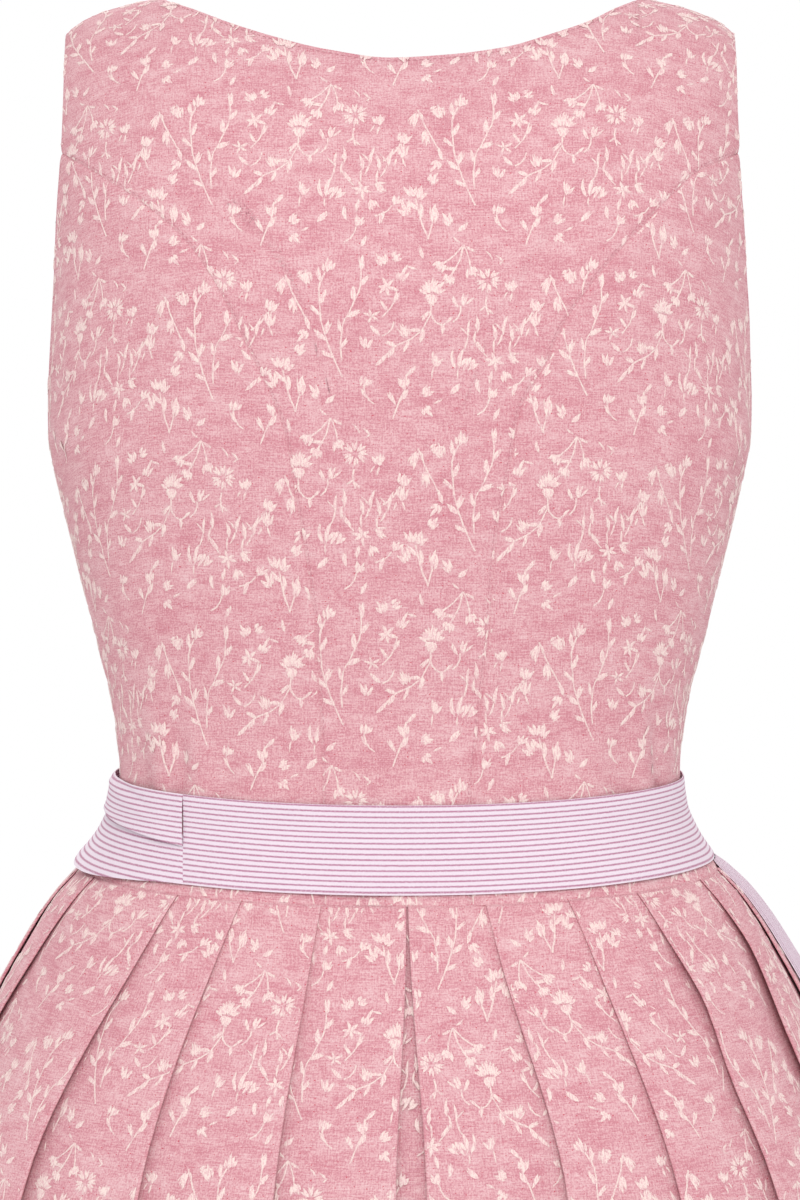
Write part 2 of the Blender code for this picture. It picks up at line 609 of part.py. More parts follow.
def tie_back():
    """The tie from the seam at the back left to the knot, with its pleat: the upper layer laps over the lower one. The
    section runs from the top edge down to the pleat's edge, back up under it and down again to the lower edge."""
    stations = 20
    end = KNOT_ANGLE - np.radians(5.5)
    t = np.linspace(0, 1, stations)
    seam = float(tie_seam_angle(0.5))
    angle = seam + (end - seam) * t
    first = (t / 0.35).clip(0, 1)
    reach = np.clip((angle - np.radians(75)) / np.radians(25), 0, 1)
    lift = BAND_STAND + 2.0 * reach * reach * (3 - 2 * reach)
    squeeze = np.clip((t - 0.72) / 0.28, 0, 1) ** 2
    edge_share = 0.46 + 0.03 * np.sin(np.pi * first)
    overlap = 0.03 + 0.27 * np.sin(np.pi * (0.1 + 0.8 * t))
    layer = APRON_WALL + LAY_GAP
    outer, inner = [], []
    for k in range(stations):
        top, bottom = 1.0 - 0.2 * squeeze[k], 0.0 + 0.25 * squeeze[k]
        pleat = edge_share[k]
        line = np.array([
            (top, 0.6 * layer), (pleat + overlap[k] + 0.06, 2 * layer), (pleat, 2 * layer),
            (pleat, layer), (pleat + overlap[k], layer), (pleat + overlap[k], 0.0), (pleat, 0.0), (bottom, 0.0),
        ])
        height = float(band_top(angle[k]) - waist_seam(angle[k]) - BAND_ABOVE_SEAM)
        flat = np.stack([line[:, 0] * height, line[:, 1]], -1)
        for store, by in ((outer, -APRON_WALL / 2), (inner, APRON_WALL / 2)):
            moved = offset_line(flat, by)
            begin = tie_seam_angle(moved[:, 0] / height) + np.radians(0.25)
            a = begin + (end - begin) * t[k]
            z = band_place(a, moved[:, 0] / height)
            stand = moved[:, 1] + APRON_WALL / 2 + lift[k]
            store.append(ring_point(a, z) + form_normal(a, z) * stand[:, None])
    wall("apron_tie_back", np.array(outer), np.array(inner), STRIPE)


def tie_front():
    """The short stretch of the second tie on the band's face, gathered into the knot."""
    start = TIE_FRONT_ANGLE
    end = KNOT_ANGLE + np.radians(5.5)
    t, share = np.meshgrid(np.linspace(0, 1, 6), np.linspace(0, 1, 5))
    angle = start + (end - start) * t
    pinch = 0.06 + 0.2 * t**1.5
    z = band_place(angle, pinch + (1 - 2 * pinch) * share)
    ripple = 0.8 * t * np.sin(share * np.pi * 3) ** 2
    stand = band_stand(angle) + LAY_GAP + 0.3 + APRON_WALL + ripple
    points, normals = ring_point(angle, z), form_normal(angle, z)
    wall("apron_tie_front", points + normals * (stand + APRON_WALL)[..., None], points + normals * stand[..., None], STRIPE)


def outward(angle, z):
    """The level direction straight out of the form."""
    n = form_normal(angle, z) * (1, 1, 0)
    return n / np.linalg.norm(n, axis=-1, keepdims=True)


def front_stand(z):
    """How far the band, and below it the apron with its folds, stands off the form at the front."""
    depth = WAIST_SEAM_FRONT - z
    folds = smooth(APRON_ROWS[:, 0], APRON_ROWS[:, 1] + APRON_ROWS[:, 2], depth) + APRON_WALL
    return np.where(depth < -BAND_ABOVE_SEAM, 5.0, np.maximum(folds, 5.0)) + LAY_GAP


def knot():
    at = ring_point(KNOT_ANGLE, KNOT_Z)
    out = outward(np.array(KNOT_ANGLE), np.array(KNOT_Z))
    beside = np.array([-out[1], out[0], 0.0])
    width, depth, height = KNOT_SIZE
    centre = at + out * (front_stand(KNOT_Z) + 1.6 + depth / 2)
    bm = bmesh.new()
    bmesh.ops.create_icosphere(bm, subdivisions=2, radius=1.0)
    verts = []
    for v in bm.verts:
        x, y, z = (np.sign(c) * abs(c) ** 0.72 for c in v.co)
        verts.append(centre + beside * x * width / 2 + out * y * depth / 2 + np.array([0, 0, z * height / 2]))
    faces = [tuple(v.index for v in f.verts) for f in bm.faces]
    bm.free()
    add_object("bow_knot", verts, faces, STRIPE)


def loop(name, sign, droop, length):
    """One loop of the bow: a strip that runs out behind, turns at its end and comes back in front. It leaves the knot
    gathered, opens to its full width and droops; it lies over the band and the apron."""
    start = KNOT_SIZE[0] / 2 + 1.2
    path = [(start, 4.5), (30, 2.2), (52, 1.2), (length - 14, 1.0), (length - 3, 3.0), (length, 7.5), (length - 5, 12.5), (length - 18, 16.0), (50, 17.0), (30, 14.5), (start, 11.0)]
    path = along(path, 15)
    share = np.clip((path[:, 0] - start) / (length - start), 0, 1)
    half = 8 + (LOOP_WIDTH / 2 - 8) * np.sin(share * np.pi / 2) ** 1.2
    way = np.gradient(path, axis=0)
    side = np.stack([way[:, 1], -way[:, 0]], -1) / np.linalg.norm(way, axis=1, keepdims=True)
    across = np.linspace(-1, 1, 5)[None, :]
    grids = []
    for by in (0.0, APRON_WALL):
        line = path - side * by
        run, w = line[:, :1], across * half[:, None]
        z = KNOT_Z - run * np.sin(droop) + w * np.cos(droop)
        angle = KNOT_ANGLE - sign * (run * np.cos(droop) + w * np.sin(droop)) / ARC_PER_RADIAN
        stand = front_stand(z) + line[:, 1:]
        grids.append(ring_point(angle, z) + outward(angle, z) * stand[..., None])
    wall(name, grids[0], grids[1], STRIPE)


def tail(name, lean, length, lift, skew):
    """One hanging end of the bow, opening from the knot and lying on the apron's folds."""
    t = np.array([0, 0.05, 0.11, 0.18, 0.27, 0.38, 0.5, 0.62, 0.74, 0.87, 1.0])[:, None]
    across = np.linspace(-1, 1, 4)[None, :]
    half = TAIL_WIDTH / 2 * (0.28 + 0.72 * np.clip(t / 0.25, 0, 1) ** 0.8)
    centre = section(HALF_WIDTH, KNOT_Z) * np.sin(KNOT_ANGLE)
    x = centre + lean * length * t + across * half
    z = KNOT_Z - KNOT_SIZE[2] / 2 - 1.5 - length * t + skew * across * t
    angle = np.pi - np.arcsin(x / section(HALF_WIDTH, z))
    stand = front_stand(z) + lift + 1.6 * np.sin(2.2 * across + 3 * t) ** 2 * t
    base, out = ring_point(angle, z), outward(angle, z)
    wall(name, base + out * (stand + APRON_WALL)[..., None], base + out * stand[..., None], STRIPE)


def bow():
    knot()
    loop("bow_loop_outer", 1, np.radians(24), LOOP_LENGTH)
    loop("bow_loop_inner", -1, np.radians(19), LOOP_LENGTH + 6)
    tail("bow_tail_outer", 0.10, TAIL_LENGTH, 0.0, -9.0)
    tail("bow_tail_inner", -0.05, TAIL_LENGTH * 0.94, 3.6, 9.0)


for old in list(bpy.data.objects):
    bpy.data.objects.remove(old, do_unlink=True)
ORIGIN = bpy.data.objects.new("dirndl_origin", None)
ORIGIN.matrix_world = Matrix.Identity(4)
bpy.context.scene.collection.objects.link(ORIGIN)

back_panels()
front_panels()
placket_and_buttons()
skirt()
apron()
band()
tie_back()
tie_front()
bow()
bpy.context.view_layer.update()
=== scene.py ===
"""Looks of the sleeveless dirndl: cloth shells with their creases, woven sprigs, stitching, stripes, pleats and bow.

Tables and shapes are in millimetres in the frame of the model; meshes are made in metres."""

import bmesh
import bpy
import numpy as np
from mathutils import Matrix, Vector


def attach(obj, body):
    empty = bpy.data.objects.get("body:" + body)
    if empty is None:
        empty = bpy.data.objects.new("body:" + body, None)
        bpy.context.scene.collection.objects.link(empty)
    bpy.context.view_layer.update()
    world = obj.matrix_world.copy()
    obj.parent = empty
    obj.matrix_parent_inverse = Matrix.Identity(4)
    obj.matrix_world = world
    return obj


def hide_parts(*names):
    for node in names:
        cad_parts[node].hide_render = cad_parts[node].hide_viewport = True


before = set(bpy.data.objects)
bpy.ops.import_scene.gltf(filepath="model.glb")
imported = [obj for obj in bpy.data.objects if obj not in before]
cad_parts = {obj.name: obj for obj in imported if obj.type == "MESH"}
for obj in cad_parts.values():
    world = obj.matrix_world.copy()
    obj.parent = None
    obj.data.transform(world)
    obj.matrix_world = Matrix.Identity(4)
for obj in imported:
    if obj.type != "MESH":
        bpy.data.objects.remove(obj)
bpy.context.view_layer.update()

MM = 0.001
PI = np.pi
CLOTH, SKIRT_CLOTH, APRON_CLOTH = 0.7, 0.45, 0.45  # thickness of the shells

# ---------------------------------------------------------------- the model's form, as its solids have it

WAIST_SEAM_BACK, WAIST_SEAM_SIDE, WAIST_SEAM_FRONT = -389.5, -383.5, -392.0
BAND_ABOVE_SEAM = 3.7
BAND_TOP_BACK, BAND_TOP_SIDE, BAND_TOP_FRONT = -346.7, -342.5, -349.0
BAND_STAND, BAND_WALL = 0.9, 1.2
SKIRT_HEM_Z, APRON_HEM_DEPTH = -1045.0, 620.0
SHOULDER_ROUND, RING_POWER = 120.0, 2.35

# height, half width at the side, y of the widest point, y at centre back, y at centre front
SECTIONS = np.array(
    [
        (20, 157.0, 0, 106, -84),
        (-40, 157.0, 0, 110, -88),
        (-80, 157.0, 0, 112, -93),
        (-120, 157.5, -2, 112, -106),
        (-155, 158.0, -3, 110, -124),
        (-188, 157.6, -4, 107, -137),
        (-217, 152.0, -5, 103, -143),
        (-246, 145.2, -6, 98, -144),
        (-267, 140.3, -7, 94, -139),
        (-287, 135.3, -8, 90, -131),
        (-303, 131.3, -8, 87, -124),
        (-321, 128.2, -9, 85, -117),
        (-340, 126.4, -9, 84, -113),
        (-355, 127.8, -9, 85, -112),
        (-368, 133.0, -9, 88, -114),
        (-381, 142.0, -8, 92, -117),
        (-394, 154.5, -8, 100, -123),
        (-406, 163.5, -8, 108, -130),
        (-419, 171.5, -8, 116, -138),
        (-438, 182.4, -8, 127, -148),
        (-480, 203.0, -7, 147, -165),
        (-532, 224.0, -6, 166, -181),
        (-600, 247.0, -5, 188, -200),
        (-700, 275.0, -4, 216, -222),
        (-850, 305.0, -2, 246, -248),
        (-1045, 334.0, 0, 274, -272),
    ],
    float,
)
HEIGHT, HALF_WIDTH, SIDE_Y, BACK_Y, FRONT_Y = range(5)
SHOULDER = np.array([(0, 8), (95, 8), (107, 7), (123, 3.4), (135.5, -0.5), (147, -7), (151, -11), (158, -15)], float)
NECK_X, TIP_X = 106.5, 149.8
BACK_ROUND, FRONT_ROUND = (150.0, 2.2, 1.8), (110.0, 2.0, 1.8)

BACK_NECK = [(106.5, 6.9), (95.5, 3.2), (75, -4.2), (55, -10.4), (32, -15.7), (5, -19.2), (-20, -18.3), (-45, -15.2), (-68, -8.6), (-84, -2.8), (-95, 2.6), (-106.5, 6.9)]
BACK_ARMHOLE = [(150.6, -62), (150.2, -45), (149.9, -28), (149.8, -9.8)]
BACK_ARMHOLE_LOW = [(157.6, -188), (156.8, -165), (155.4, -135), (153.4, -100), (151.6, -75), (150.6, -62)]
BACK_PRINCESS_LEFT = [(34.1, -389), (34.2, -347), (35.5, -305), (37.1, -271), (41.3, -237), (45.6, -211), (50.7, -181), (61.5, -155), (68.4, -141), (79.3, -119.5), (93.8, -99), (112, -83.5), (136.7, -69), (150.6, -62)]
BACK_PRINCESS_RIGHT = [(31.0, -389), (31.6, -345), (34.2, -317), (38.4, -278), (42.6, -226), (48.2, -196), (52, -173.5), (65, -149), (69.7, -138), (81.9, -119.5), (94.2, -105), (115.6, -83), (132.1, -69), (150.6, -62)]
FRONT_NECK = [(0, -171), (26, -170), (48, -165), (66, -154), (79, -136), (88, -108), (95, -70), (101, -35), (106.5, 6.9)]
FRONT_ARMHOLE = [(136.2, -112), (134.8, -92), (136.6, -66), (142, -36), (149.8, -9.8)]
FRONT_ARMHOLE_LOW = [(157.6, -188), (153.6, -177), (146, -160), (139.5, -138), (136.2, -112)]
FRONT_PRINCESS = [(72, -392), (70, -350), (75, -320), (83, -285), (92, -245), (100, -205), (112, -165), (126, -132), (136.2, -112)]

PLEATS_LEFT = [(-0.006, 0.003), (0.084, 0.087), (0.171, 0.187), (0.246, 0.280), (0.388, 0.425), (0.475, 0.482), (0.560, 0.562), (0.650, 0.650), (0.740, 0.738), (0.830, 0.828), (0.915, 0.915)]
PLEATS_RIGHT = [(0.009, 0.019), (0.092, 0.118), (0.182, 0.200), (0.265, 0.280), (0.371, 0.358), (0.448, 0.447), (0.540, 0.538), (0.630, 0.629), (0.720, 0.722), (0.810, 0.812), (0.905, 0.905)]
SIDE_PLEAT = 5
# depth below the waist seam, height of a pleat's step, depth folded under, gap between the layers
PLEAT_ROWS = np.array(
    [(0, 1.2, 25, 0.05), (9, 1.35, 25, 0.1), (20, 1.9, 25, 0.3), (55, 2.8, 23, 0.6), (120, 4.2, 19, 0.9), (230, 7, 14, 1.6), (400, 11, 9, 2.4), (655, 16, 6, 3.0)],
    float,
)
APRON_RIGHT, APRON_LEFT = 0.462, 0.56
# depth below the waist seam, least stand-off from the skirt, height of the folds
APRON_ROWS = np.array(
    [(-3.4, 0.5, 0.5), (0, 1.6, 1.0), (20, 2.0, 2.0), (55, 2.2, 3.5), (120, 2.4, 6.0), (230, 2.8, 8.0), (400, 3.0, 9.5), (620, 3.0, 11.0)],
    float,
)
TIE_SEAM_X = 95.0
BAND_END = np.radians(-257.0)
KNOT_ANGLE, KNOT_Z = np.radians(156.0), -369.0
TIE_FRONT_ANGLE = np.radians(171.0)
ARC_PER_RADIAN = 128.0
KNOT_SIZE = (25.0, 15.0, 30.0)
TAIL_LENGTH, TAIL_WIDTH, LOOP_LENGTH, LOOP_WIDTH = 430.0, 60.0, 92.0, 64.0
BUTTON_RADIUS, BUTTON_THICKNESS = 7.0, 2.4
BUTTON_HEIGHTS = [-184, -214, -244, -274, -304, -334]
PLACKET_HALF_WIDTH, PLACKET_STAND = 11.0, 0.6


def smooth(table_x, table_y, x):
    xs, ys = np.asarray(table_x, float), np.asarray(table_y, float)
    if xs[0] > xs[-1]:
        xs, ys = xs[::-1], ys[::-1]
    x = np.asarray(x, float)
    h, d = np.diff(xs), np.diff(ys) / np.diff(xs)
    m = np.empty_like(ys)
    m[0], m[-1] = d[0], d[-1]
    w1, w2 = 2 * h[1:] + h[:-1], h[1:] + 2 * h[:-1]
    with np.errstate(divide="ignore", invalid="ignore"):
        mean = (w1 + w2) / (w1 / d[:-1] + w2 / d[1:])
    m[1:-1] = np.where(d[:-1] * d[1:] > 0, mean, 0)
    i = np.clip(np.searchsorted(xs, x) - 1, 0, len(h) - 1)
    t = np.clip((x - xs[i]) / h[i], 0, 1)
    return (1 + 2 * t) * (1 - t) ** 2 * ys[i] + t * (1 - t) ** 2 * h[i] * m[i] + t * t * (3 - 2 * t) * ys[i + 1] + t * t * (t - 1) * h[i] * m[i + 1]


def section(column, z):
    return smooth(SECTIONS[:, HEIGHT], SECTIONS[:, column], z)


def shoulder_height(x):
    return smooth(SHOULDER[:, 0], SHOULDER[:, 1], np.abs(x))


def rounding(h, shape):
    depth, power, root = shape
    return (1 - (1 - np.clip(h / depth, 0, 1)) ** power) ** (1 / root)


def ring_point(angle, z):
    angle, z = np.broadcast_arrays(np.asarray(angle, float), np.asarray(z, float))
    side, x = section(SIDE_Y, z), section(HALF_WIDTH, z) * np.sin(angle)
    h = shoulder_height(x) - z
    round_off = np.maximum(1 - np.abs(np.sin(angle)) ** RING_POWER, 0) ** (1 / RING_POWER)
    back = side + (section(BACK_Y, z) - side) * rounding(h, BACK_ROUND) * round_off
    front = side + (section(FRONT_Y, z) - side) * rounding(h, FRONT_ROUND) * round_off
    return np.stack([x, np.where(np.cos(angle) >= 0, back, front), z], -1)


def shell_point(angle, drop, side):
    h = -SHOULDER_ROUND / 2 + np.sqrt(SHOULDER_ROUND**2 / 4 + drop**2)
    z = -h
    for _ in range(6):
        x = section(HALF_WIDTH, z) * np.sin(angle)
        z = shoulder_height(x) - h
    middle = section(SIDE_Y, z)
    round_off = np.maximum(1 - np.abs(np.sin(angle)) ** RING_POWER, 0) ** (1 / RING_POWER)
    deep, shape = (BACK_Y, BACK_ROUND) if side > 0 else (FRONT_Y, FRONT_ROUND)
    y = middle + (section(deep, z) - middle) * rounding(h, shape) * round_off
    return np.stack([x, y, z], -1)


def shell_normal(angle, drop, side):
    e, quarter = 1e-3, PI / 2
    across = shell_point(np.minimum(angle + e, quarter), drop, side) - shell_point(np.maximum(angle - e, -quarter), drop, side)
    down = shell_point(angle, drop + 0.1, side) - shell_point(angle, np.maximum(drop - 0.1, 0), side)
    n = np.cross(across, down) * side
    return n / np.linalg.norm(n, axis=-1, keepdims=True)


def place_on_form(x, z):
    x, z = np.asarray(x, float), np.asarray(z, float)
    angle = np.arcsin(np.clip(x / section(HALF_WIDTH, z), -1, 1))
    h = np.maximum(shoulder_height(x) - z, 0)
    return np.stack([angle, np.sqrt(h * h + SHOULDER_ROUND * h)], -1)


def seam_height(angle, back, side, front):
    c, s = np.cos(angle), np.sin(angle) ** 2
    return np.where(c >= 0, back, front) * (1 - s) + side * s


def waist_seam(angle):
    return seam_height(angle, WAIST_SEAM_BACK, WAIST_SEAM_SIDE, WAIST_SEAM_FRONT)


def band_top(angle):
    return seam_height(angle, BAND_TOP_BACK, BAND_TOP_SIDE, BAND_TOP_FRONT)


def form_normal(angle, z):
    e = 1e-3
    across = ring_point(angle + e, z) - ring_point(angle - e, z)
    up = ring_point(angle, z + 0.5) - ring_point(angle, z - 0.5)
    n = np.cross(across, up)
    n /= np.linalg.norm(n, axis=-1, keepdims=True)
    facing = np.stack([np.sin(angle), np.cos(angle), 0 * angle], -1)
    return n * np.sign((n * facing).sum(-1, keepdims=True))


def outward(angle, z):
    n = form_normal(angle, z) * (1, 1, 0)
    return n / np.linalg.norm(n, axis=-1, keepdims=True)


def along(points, shares):
    """Points at the given shares of a smooth line through the given ones."""
    points = np.asarray(points, float)
    length = np.concatenate([[0], np.cumsum(np.linalg.norm(np.diff(points, axis=0), axis=1))])
    fine = np.linspace(0, length[-1], 600)
    curve = np.stack([smooth(length, points[:, k], fine) for k in range(points.shape[1])], -1)
    step = np.concatenate([[0], np.cumsum(np.linalg.norm(np.diff(curve, axis=0), axis=1))])
    want = np.asarray(shares, float) * step[-1]
    return np.stack([np.interp(want, step, curve[:, k]) for k in range(points.shape[1])], -1)


def spaced(length, step, start=True, end=True):
    """Shares of a length, closer together at its ends."""
    near = np.array([0, 0.45, 1.0, 1.8, 3.0, 4.8])
    a = near if start else near[:1]
    b = length - near[::-1] if end else np.array([length])
    count = max(int(round((b[0] - a[-1]) / step)), 1)
    return np.concatenate([a, np.linspace(a[-1], b[0], count + 1)[1:-1], b]) / length


# ---------------------------------------------------------------- meshes


def make(name, verts, faces, uv, material, sharp=50.0):
    """A mesh from arrays. faces is a list of (n, 3) and (n, 4) index arrays; uv is one pair a vertex, in millimetres."""
    me = bpy.data.meshes.new(name)
    faces = [np.asarray(f, np.int32) for f in faces if len(f)]
    loops = np.concatenate([f.ravel() for f in faces])
    sizes = np.concatenate([np.full(len(f), f.shape[1]) for f in faces])
    me.vertices.add(len(verts))
    me.vertices.foreach_set("co", (np.asarray(verts) * MM).astype(np.float32).ravel())
    me.loops.add(len(loops))
    me.loops.foreach_set("vertex_index", loops)
    me.polygons.add(len(sizes))
    me.polygons.foreach_set("loop_start", np.concatenate([[0], np.cumsum(sizes)[:-1]]).astype(np.int32))
    if uv is not None:
        layer = me.uv_layers.new(name="cloth")
        layer.uv.foreach_set("vector", (np.asarray(uv)[loops] / 100).astype(np.float32).ravel())
    me.update(calc_edges=True)
    me.validate()
    me.shade_smooth()
    me.set_sharp_from_angle(angle=np.radians(sharp))
    me.materials.append(material)
    obj = bpy.data.objects.new(name, me)
    bpy.context.scene.collection.objects.link(obj)
    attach(obj, "root")
    return obj


def grid_quads(rows, columns, first=0):
    r, c = np.meshgrid(np.arange(rows - 1), np.arange(columns - 1), indexing="ij")
    a = first + (r * columns + c).ravel()
    return np.stack([a, a + 1, a + columns + 1, a + columns], -1)


def shell(name, outer, inner, uv, material, sharp=50.0):
    """A closed thin shell between two grids; it faces out whichever way the grids run."""
    rows, columns = outer.shape[:2]
    n = rows * columns
    front = grid_quads(rows, columns)
    back = grid_quads(rows, columns, n)[:, ::-1]
    index = np.arange(n).reshape(rows, columns)
    rim = np.concatenate([index[0], index[1:, -1], index[-1, :-1][::-1], index[1:-1, 0][::-1]])
    nxt = np.roll(rim, -1)
    side = np.stack([nxt, rim, n + rim, n + nxt], -1)
    verts = np.concatenate([outer.reshape(-1, 3), inner.reshape(-1, 3)])
    p = verts[front]
    normal = np.cross(p[:, 2] - p[:, 0], p[:, 3] - p[:, 1])
    way = (outer - inner).reshape(-1, 3)[front[:, 0]]
    if (normal * way).sum() < 0:
        front, back, side = front[:, ::-1], back[:, ::-1], side[:, ::-1]
    uv = np.concatenate([uv.reshape(-1, 2)] * 2)
    return make(name, verts, [front, back, side], uv, material, sharp)


def near_line(points, line, closed=False):
    """For each point, how far the line is, and how far along it the nearest place lies."""
    a = line if not closed else np.concatenate([line, line[:1]])
    seg = np.diff(a, axis=0)
    size = np.maximum((seg * seg).sum(1), 1e-12)
    start = np.concatenate([[0], np.cumsum(np.sqrt(size))])[:-1]
    best, place = np.empty(len(points)), np.empty(len(points))
    for lo in range(0, len(points), 8000):
        p = points[lo : lo + 8000]
        rel = p[:, None] - a[None, :-1]
        t = np.clip((rel * seg).sum(-1) / size, 0, 1)
        off = rel - t[..., None] * seg
        d2 = (off * off).sum(-1)
        k = d2.argmin(1)
        row = np.arange(len(p))
        best[lo : lo + 8000] = np.sqrt(d2[row, k])
        place[lo : lo + 8000] = start[k] + t[row, k] * np.sqrt(size[k])
    return best, place


def inside(points, loop):
    """Whether points lie inside a closed outline."""
    out = np.zeros(len(points), bool)
    x, y = points[:, 0], points[:, 1]
    for (x1, y1), (x2, y2) in zip(loop, np.roll(loop, -1, axis=0)):
        if y1 != y2:
            out ^= ((y1 > y) != (y2 > y)) & (x < (x2 - x1) * (y - y1) / (y2 - y1) + x1)
    return out


def capped(rings):
    """Vertices and faces of a closed skin through rings of points, with a point at each end; it faces out."""
    rows, columns = rings.shape[:2]
    verts = np.concatenate([rings.reshape(-1, 3), rings[0].mean(0)[None], rings[-1].mean(0)[None]])
    r, c = np.meshgrid(np.arange(rows - 1), np.arange(columns), indexing="ij")
    a, b = (r * columns + c).ravel(), (r * columns + (c + 1) % columns).ravel()
    quads = np.stack([a, b, b + columns, a + columns], -1)
    c = np.arange(columns)
    n, last = (c + 1) % columns, (rows - 1) * columns
    tris = np.concatenate([np.stack([np.full(columns, rows * columns), n, c], -1), np.stack([np.full(columns, rows * columns + 1), last + c, last + n], -1)])
    middle = verts.mean(0)
    volume = sum((((verts[f[:, 0]] - middle) * np.cross(verts[f[:, 1]] - middle, verts[f[:, 2]] - middle)).sum()) for f in (quads, quads[:, [0, 2, 3]], tris))
    if volume < 0:
        quads, tris = quads[:, ::-1], tris[:, ::-1]
    return verts, quads, tris


def tube(points, radius, sides=6):
    """A thin round cord's skin along a line."""
    points = np.asarray(points, float)
    way = np.gradient(points, axis=0)
    way /= np.linalg.norm(way, axis=1, keepdims=True)
    helper = np.where(np.abs(way[:, 2:3]) < 0.8, np.array([[0, 0, 1.0]]), np.array([[1.0, 0, 0]]))
    u = np.cross(way, helper)
    u /= np.linalg.norm(u, axis=1, keepdims=True)
    v = np.cross(way, u)
    t = np.arange(sides) * 2 * PI / sides
    radius = np.broadcast_to(np.asarray(radius, float), (len(points),))[:, None, None]
    return capped(points[:, None] + radius * (u[:, None] * np.cos(t)[None, :, None] + v[:, None] * np.sin(t)[None, :, None]))


def joined(parts):
    """Several skins as one set of vertices, quads and triangles."""
    verts, quads, tris, count = [], [], [], 0
    for v, q, t in parts:
        verts.append(v)
        quads.append(q + count)
        tris.append(t + count)
        count += len(v)
    return np.concatenate(verts), [np.concatenate(quads), np.concatenate(tris)]


def grid_normals(grid):
    """Normals of a grid of points, pointing away from the garment's upright axis."""
    n = np.cross(np.gradient(grid, axis=0), np.gradient(grid, axis=1))
    n /= np.maximum(np.linalg.norm(n, axis=-1, keepdims=True), 1e-9)
    return n * np.where((n * grid * (1, 1, 0)).sum(-1, keepdims=True) < 0, -1.0, 1.0)


STITCHES = {}


def stitch_row(group, points, normals, length=1.9, gap=1.0):
    """Even stitches along a line on the cloth."""
    step = np.concatenate([[0], np.cumsum(np.linalg.norm(np.diff(points, axis=0), axis=1))])
    count = int(step[-1] / (length + gap))
    if count < 1:
        return
    start = (np.arange(count) + 0.5) * step[-1] / count - length / 2
    at = lambda where, values: np.stack([np.interp(where, step, values[:, k]) for k in range(3)], -1)
    STITCHES.setdefault(group, []).append((at(start, points), at(start + length, points), at(start + length / 2, normals)))


def sew(group, material, radius=0.14):
    """All the stitches of a group as one piece: each is a small pointed bar of thread."""
    a, b, n = (np.concatenate([row[k] for row in STITCHES[group]]) for k in range(3))
    way = b - a
    way /= np.linalg.norm(way, axis=1, keepdims=True)
    side = np.cross(way, n)
    side /= np.linalg.norm(side, axis=1, keepdims=True)
    up = np.cross(side, way)
    rings = [end + sign * way + radius * (side * np.cos(q * PI / 2) + up * np.sin(q * PI / 2)) for end, sign in ((a, 0.3), (b, -0.3)) for q in range(4)]
    verts = np.stack([a - 0.12 * n] + rings + [b - 0.12 * n], 1)
    base = 10 * np.arange(len(a))[:, None, None]
    tris = np.array([(0, 1 + q, 1 + (q + 1) % 4) for q in range(4)] + [(9, 5 + (q + 1) % 4, 5 + q) for q in range(4)])
    quads = np.array([(1 + q, 5 + q, 5 + (q + 1) % 4, 1 + (q + 1) % 4) for q in range(4)])
    obj = make(group, verts.reshape(-1, 3), [(base + quads[None]).reshape(-1, 4), (base + tris[None]).reshape(-1, 3)], None, material, 80)
    return obj


# ---------------------------------------------------------------- materials


def linear(*rgb):
    c = np.array(rgb, float) / 255
    return tuple(np.where(c <= 0.04045, c / 12.92, ((c + 0.055) / 1.055) ** 2.4)) + (1.0,)


class Nodes:
    """Short names for the nodes that a cloth needs."""

    def __init__(self, name, rough, sheen=0.0, sheen_rough=0.5):
        self.mat = bpy.data.materials.new(name)
        self.mat.use_nodes = True
        self.tree = self.mat.node_tree
        self.shader = self.tree.nodes["Principled BSDF"]
        self.shader.inputs["Roughness"].default_value = rough
        self.shader.inputs["Sheen Weight"].default_value = sheen
        self.shader.inputs["Sheen Roughness"].default_value = sheen_rough
        self.shader.inputs["Specular IOR Level"].default_value = 0.25

    def put(self, kind, inputs=(), **settings):
        node = self.tree.nodes.new(kind)
        for key, value in settings.items():
            setattr(node, key, value)
        for key, value in dict(inputs).items():
            if isinstance(value, bpy.types.NodeSocket):
                self.tree.links.new(value, node.inputs[key])
            else:
                node.inputs[key].default_value = value
        return node

    def cloth_uv(self):
        return self.put("ShaderNodeUVMap", uv_map="cloth").outputs["UV"]

    def noise(self, vector, scale, stretch=(1, 1, 1), detail=2.0, rough=0.5, place=(0, 0, 0)):
        moved = self.put("ShaderNodeMapping", {"Vector": vector, "Scale": stretch, "Location": place})
        tex = self.put("ShaderNodeTexNoise", {"Vector": moved.outputs[0], "Scale": scale, "Detail": detail, "Roughness": rough}, noise_dimensions="2D")
        return tex.outputs["Fac"]

    def math(self, op, a, b=0.0, c=0.0):
        return self.put("ShaderNodeMath", {0: a, 1: b, 2: c}, operation=op).outputs[0]

    def range(self, value, low, high, to_low=0.0, to_high=1.0):
        return self.put("ShaderNodeMapRange", {"Value": value, "From Min": low, "From Max": high, "To Min": to_low, "To Max": to_high}, clamp=True).outputs[0]

    def mix(self, share, a, b):
        node = self.tree.nodes.new("ShaderNodeMix")
        node.data_type = "RGBA"
        for key, value in ((0, share), (6, a), (7, b)):
            if isinstance(value, bpy.types.NodeSocket):
                self.tree.links.new(value, node.inputs[key])
            else:
                node.inputs[key].default_value = value
        return node.outputs[2]

    def bump(self, height, distance, strength=1.0):
        node = self.put("ShaderNodeBump", {"Height": height, "Distance": distance, "Strength": strength})
        self.tree.links.new(node.outputs[0], self.shader.inputs["Normal"])

    def colour(self, value):
        self.tree.links.new(value, self.shader.inputs["Base Color"])
        return self.mat


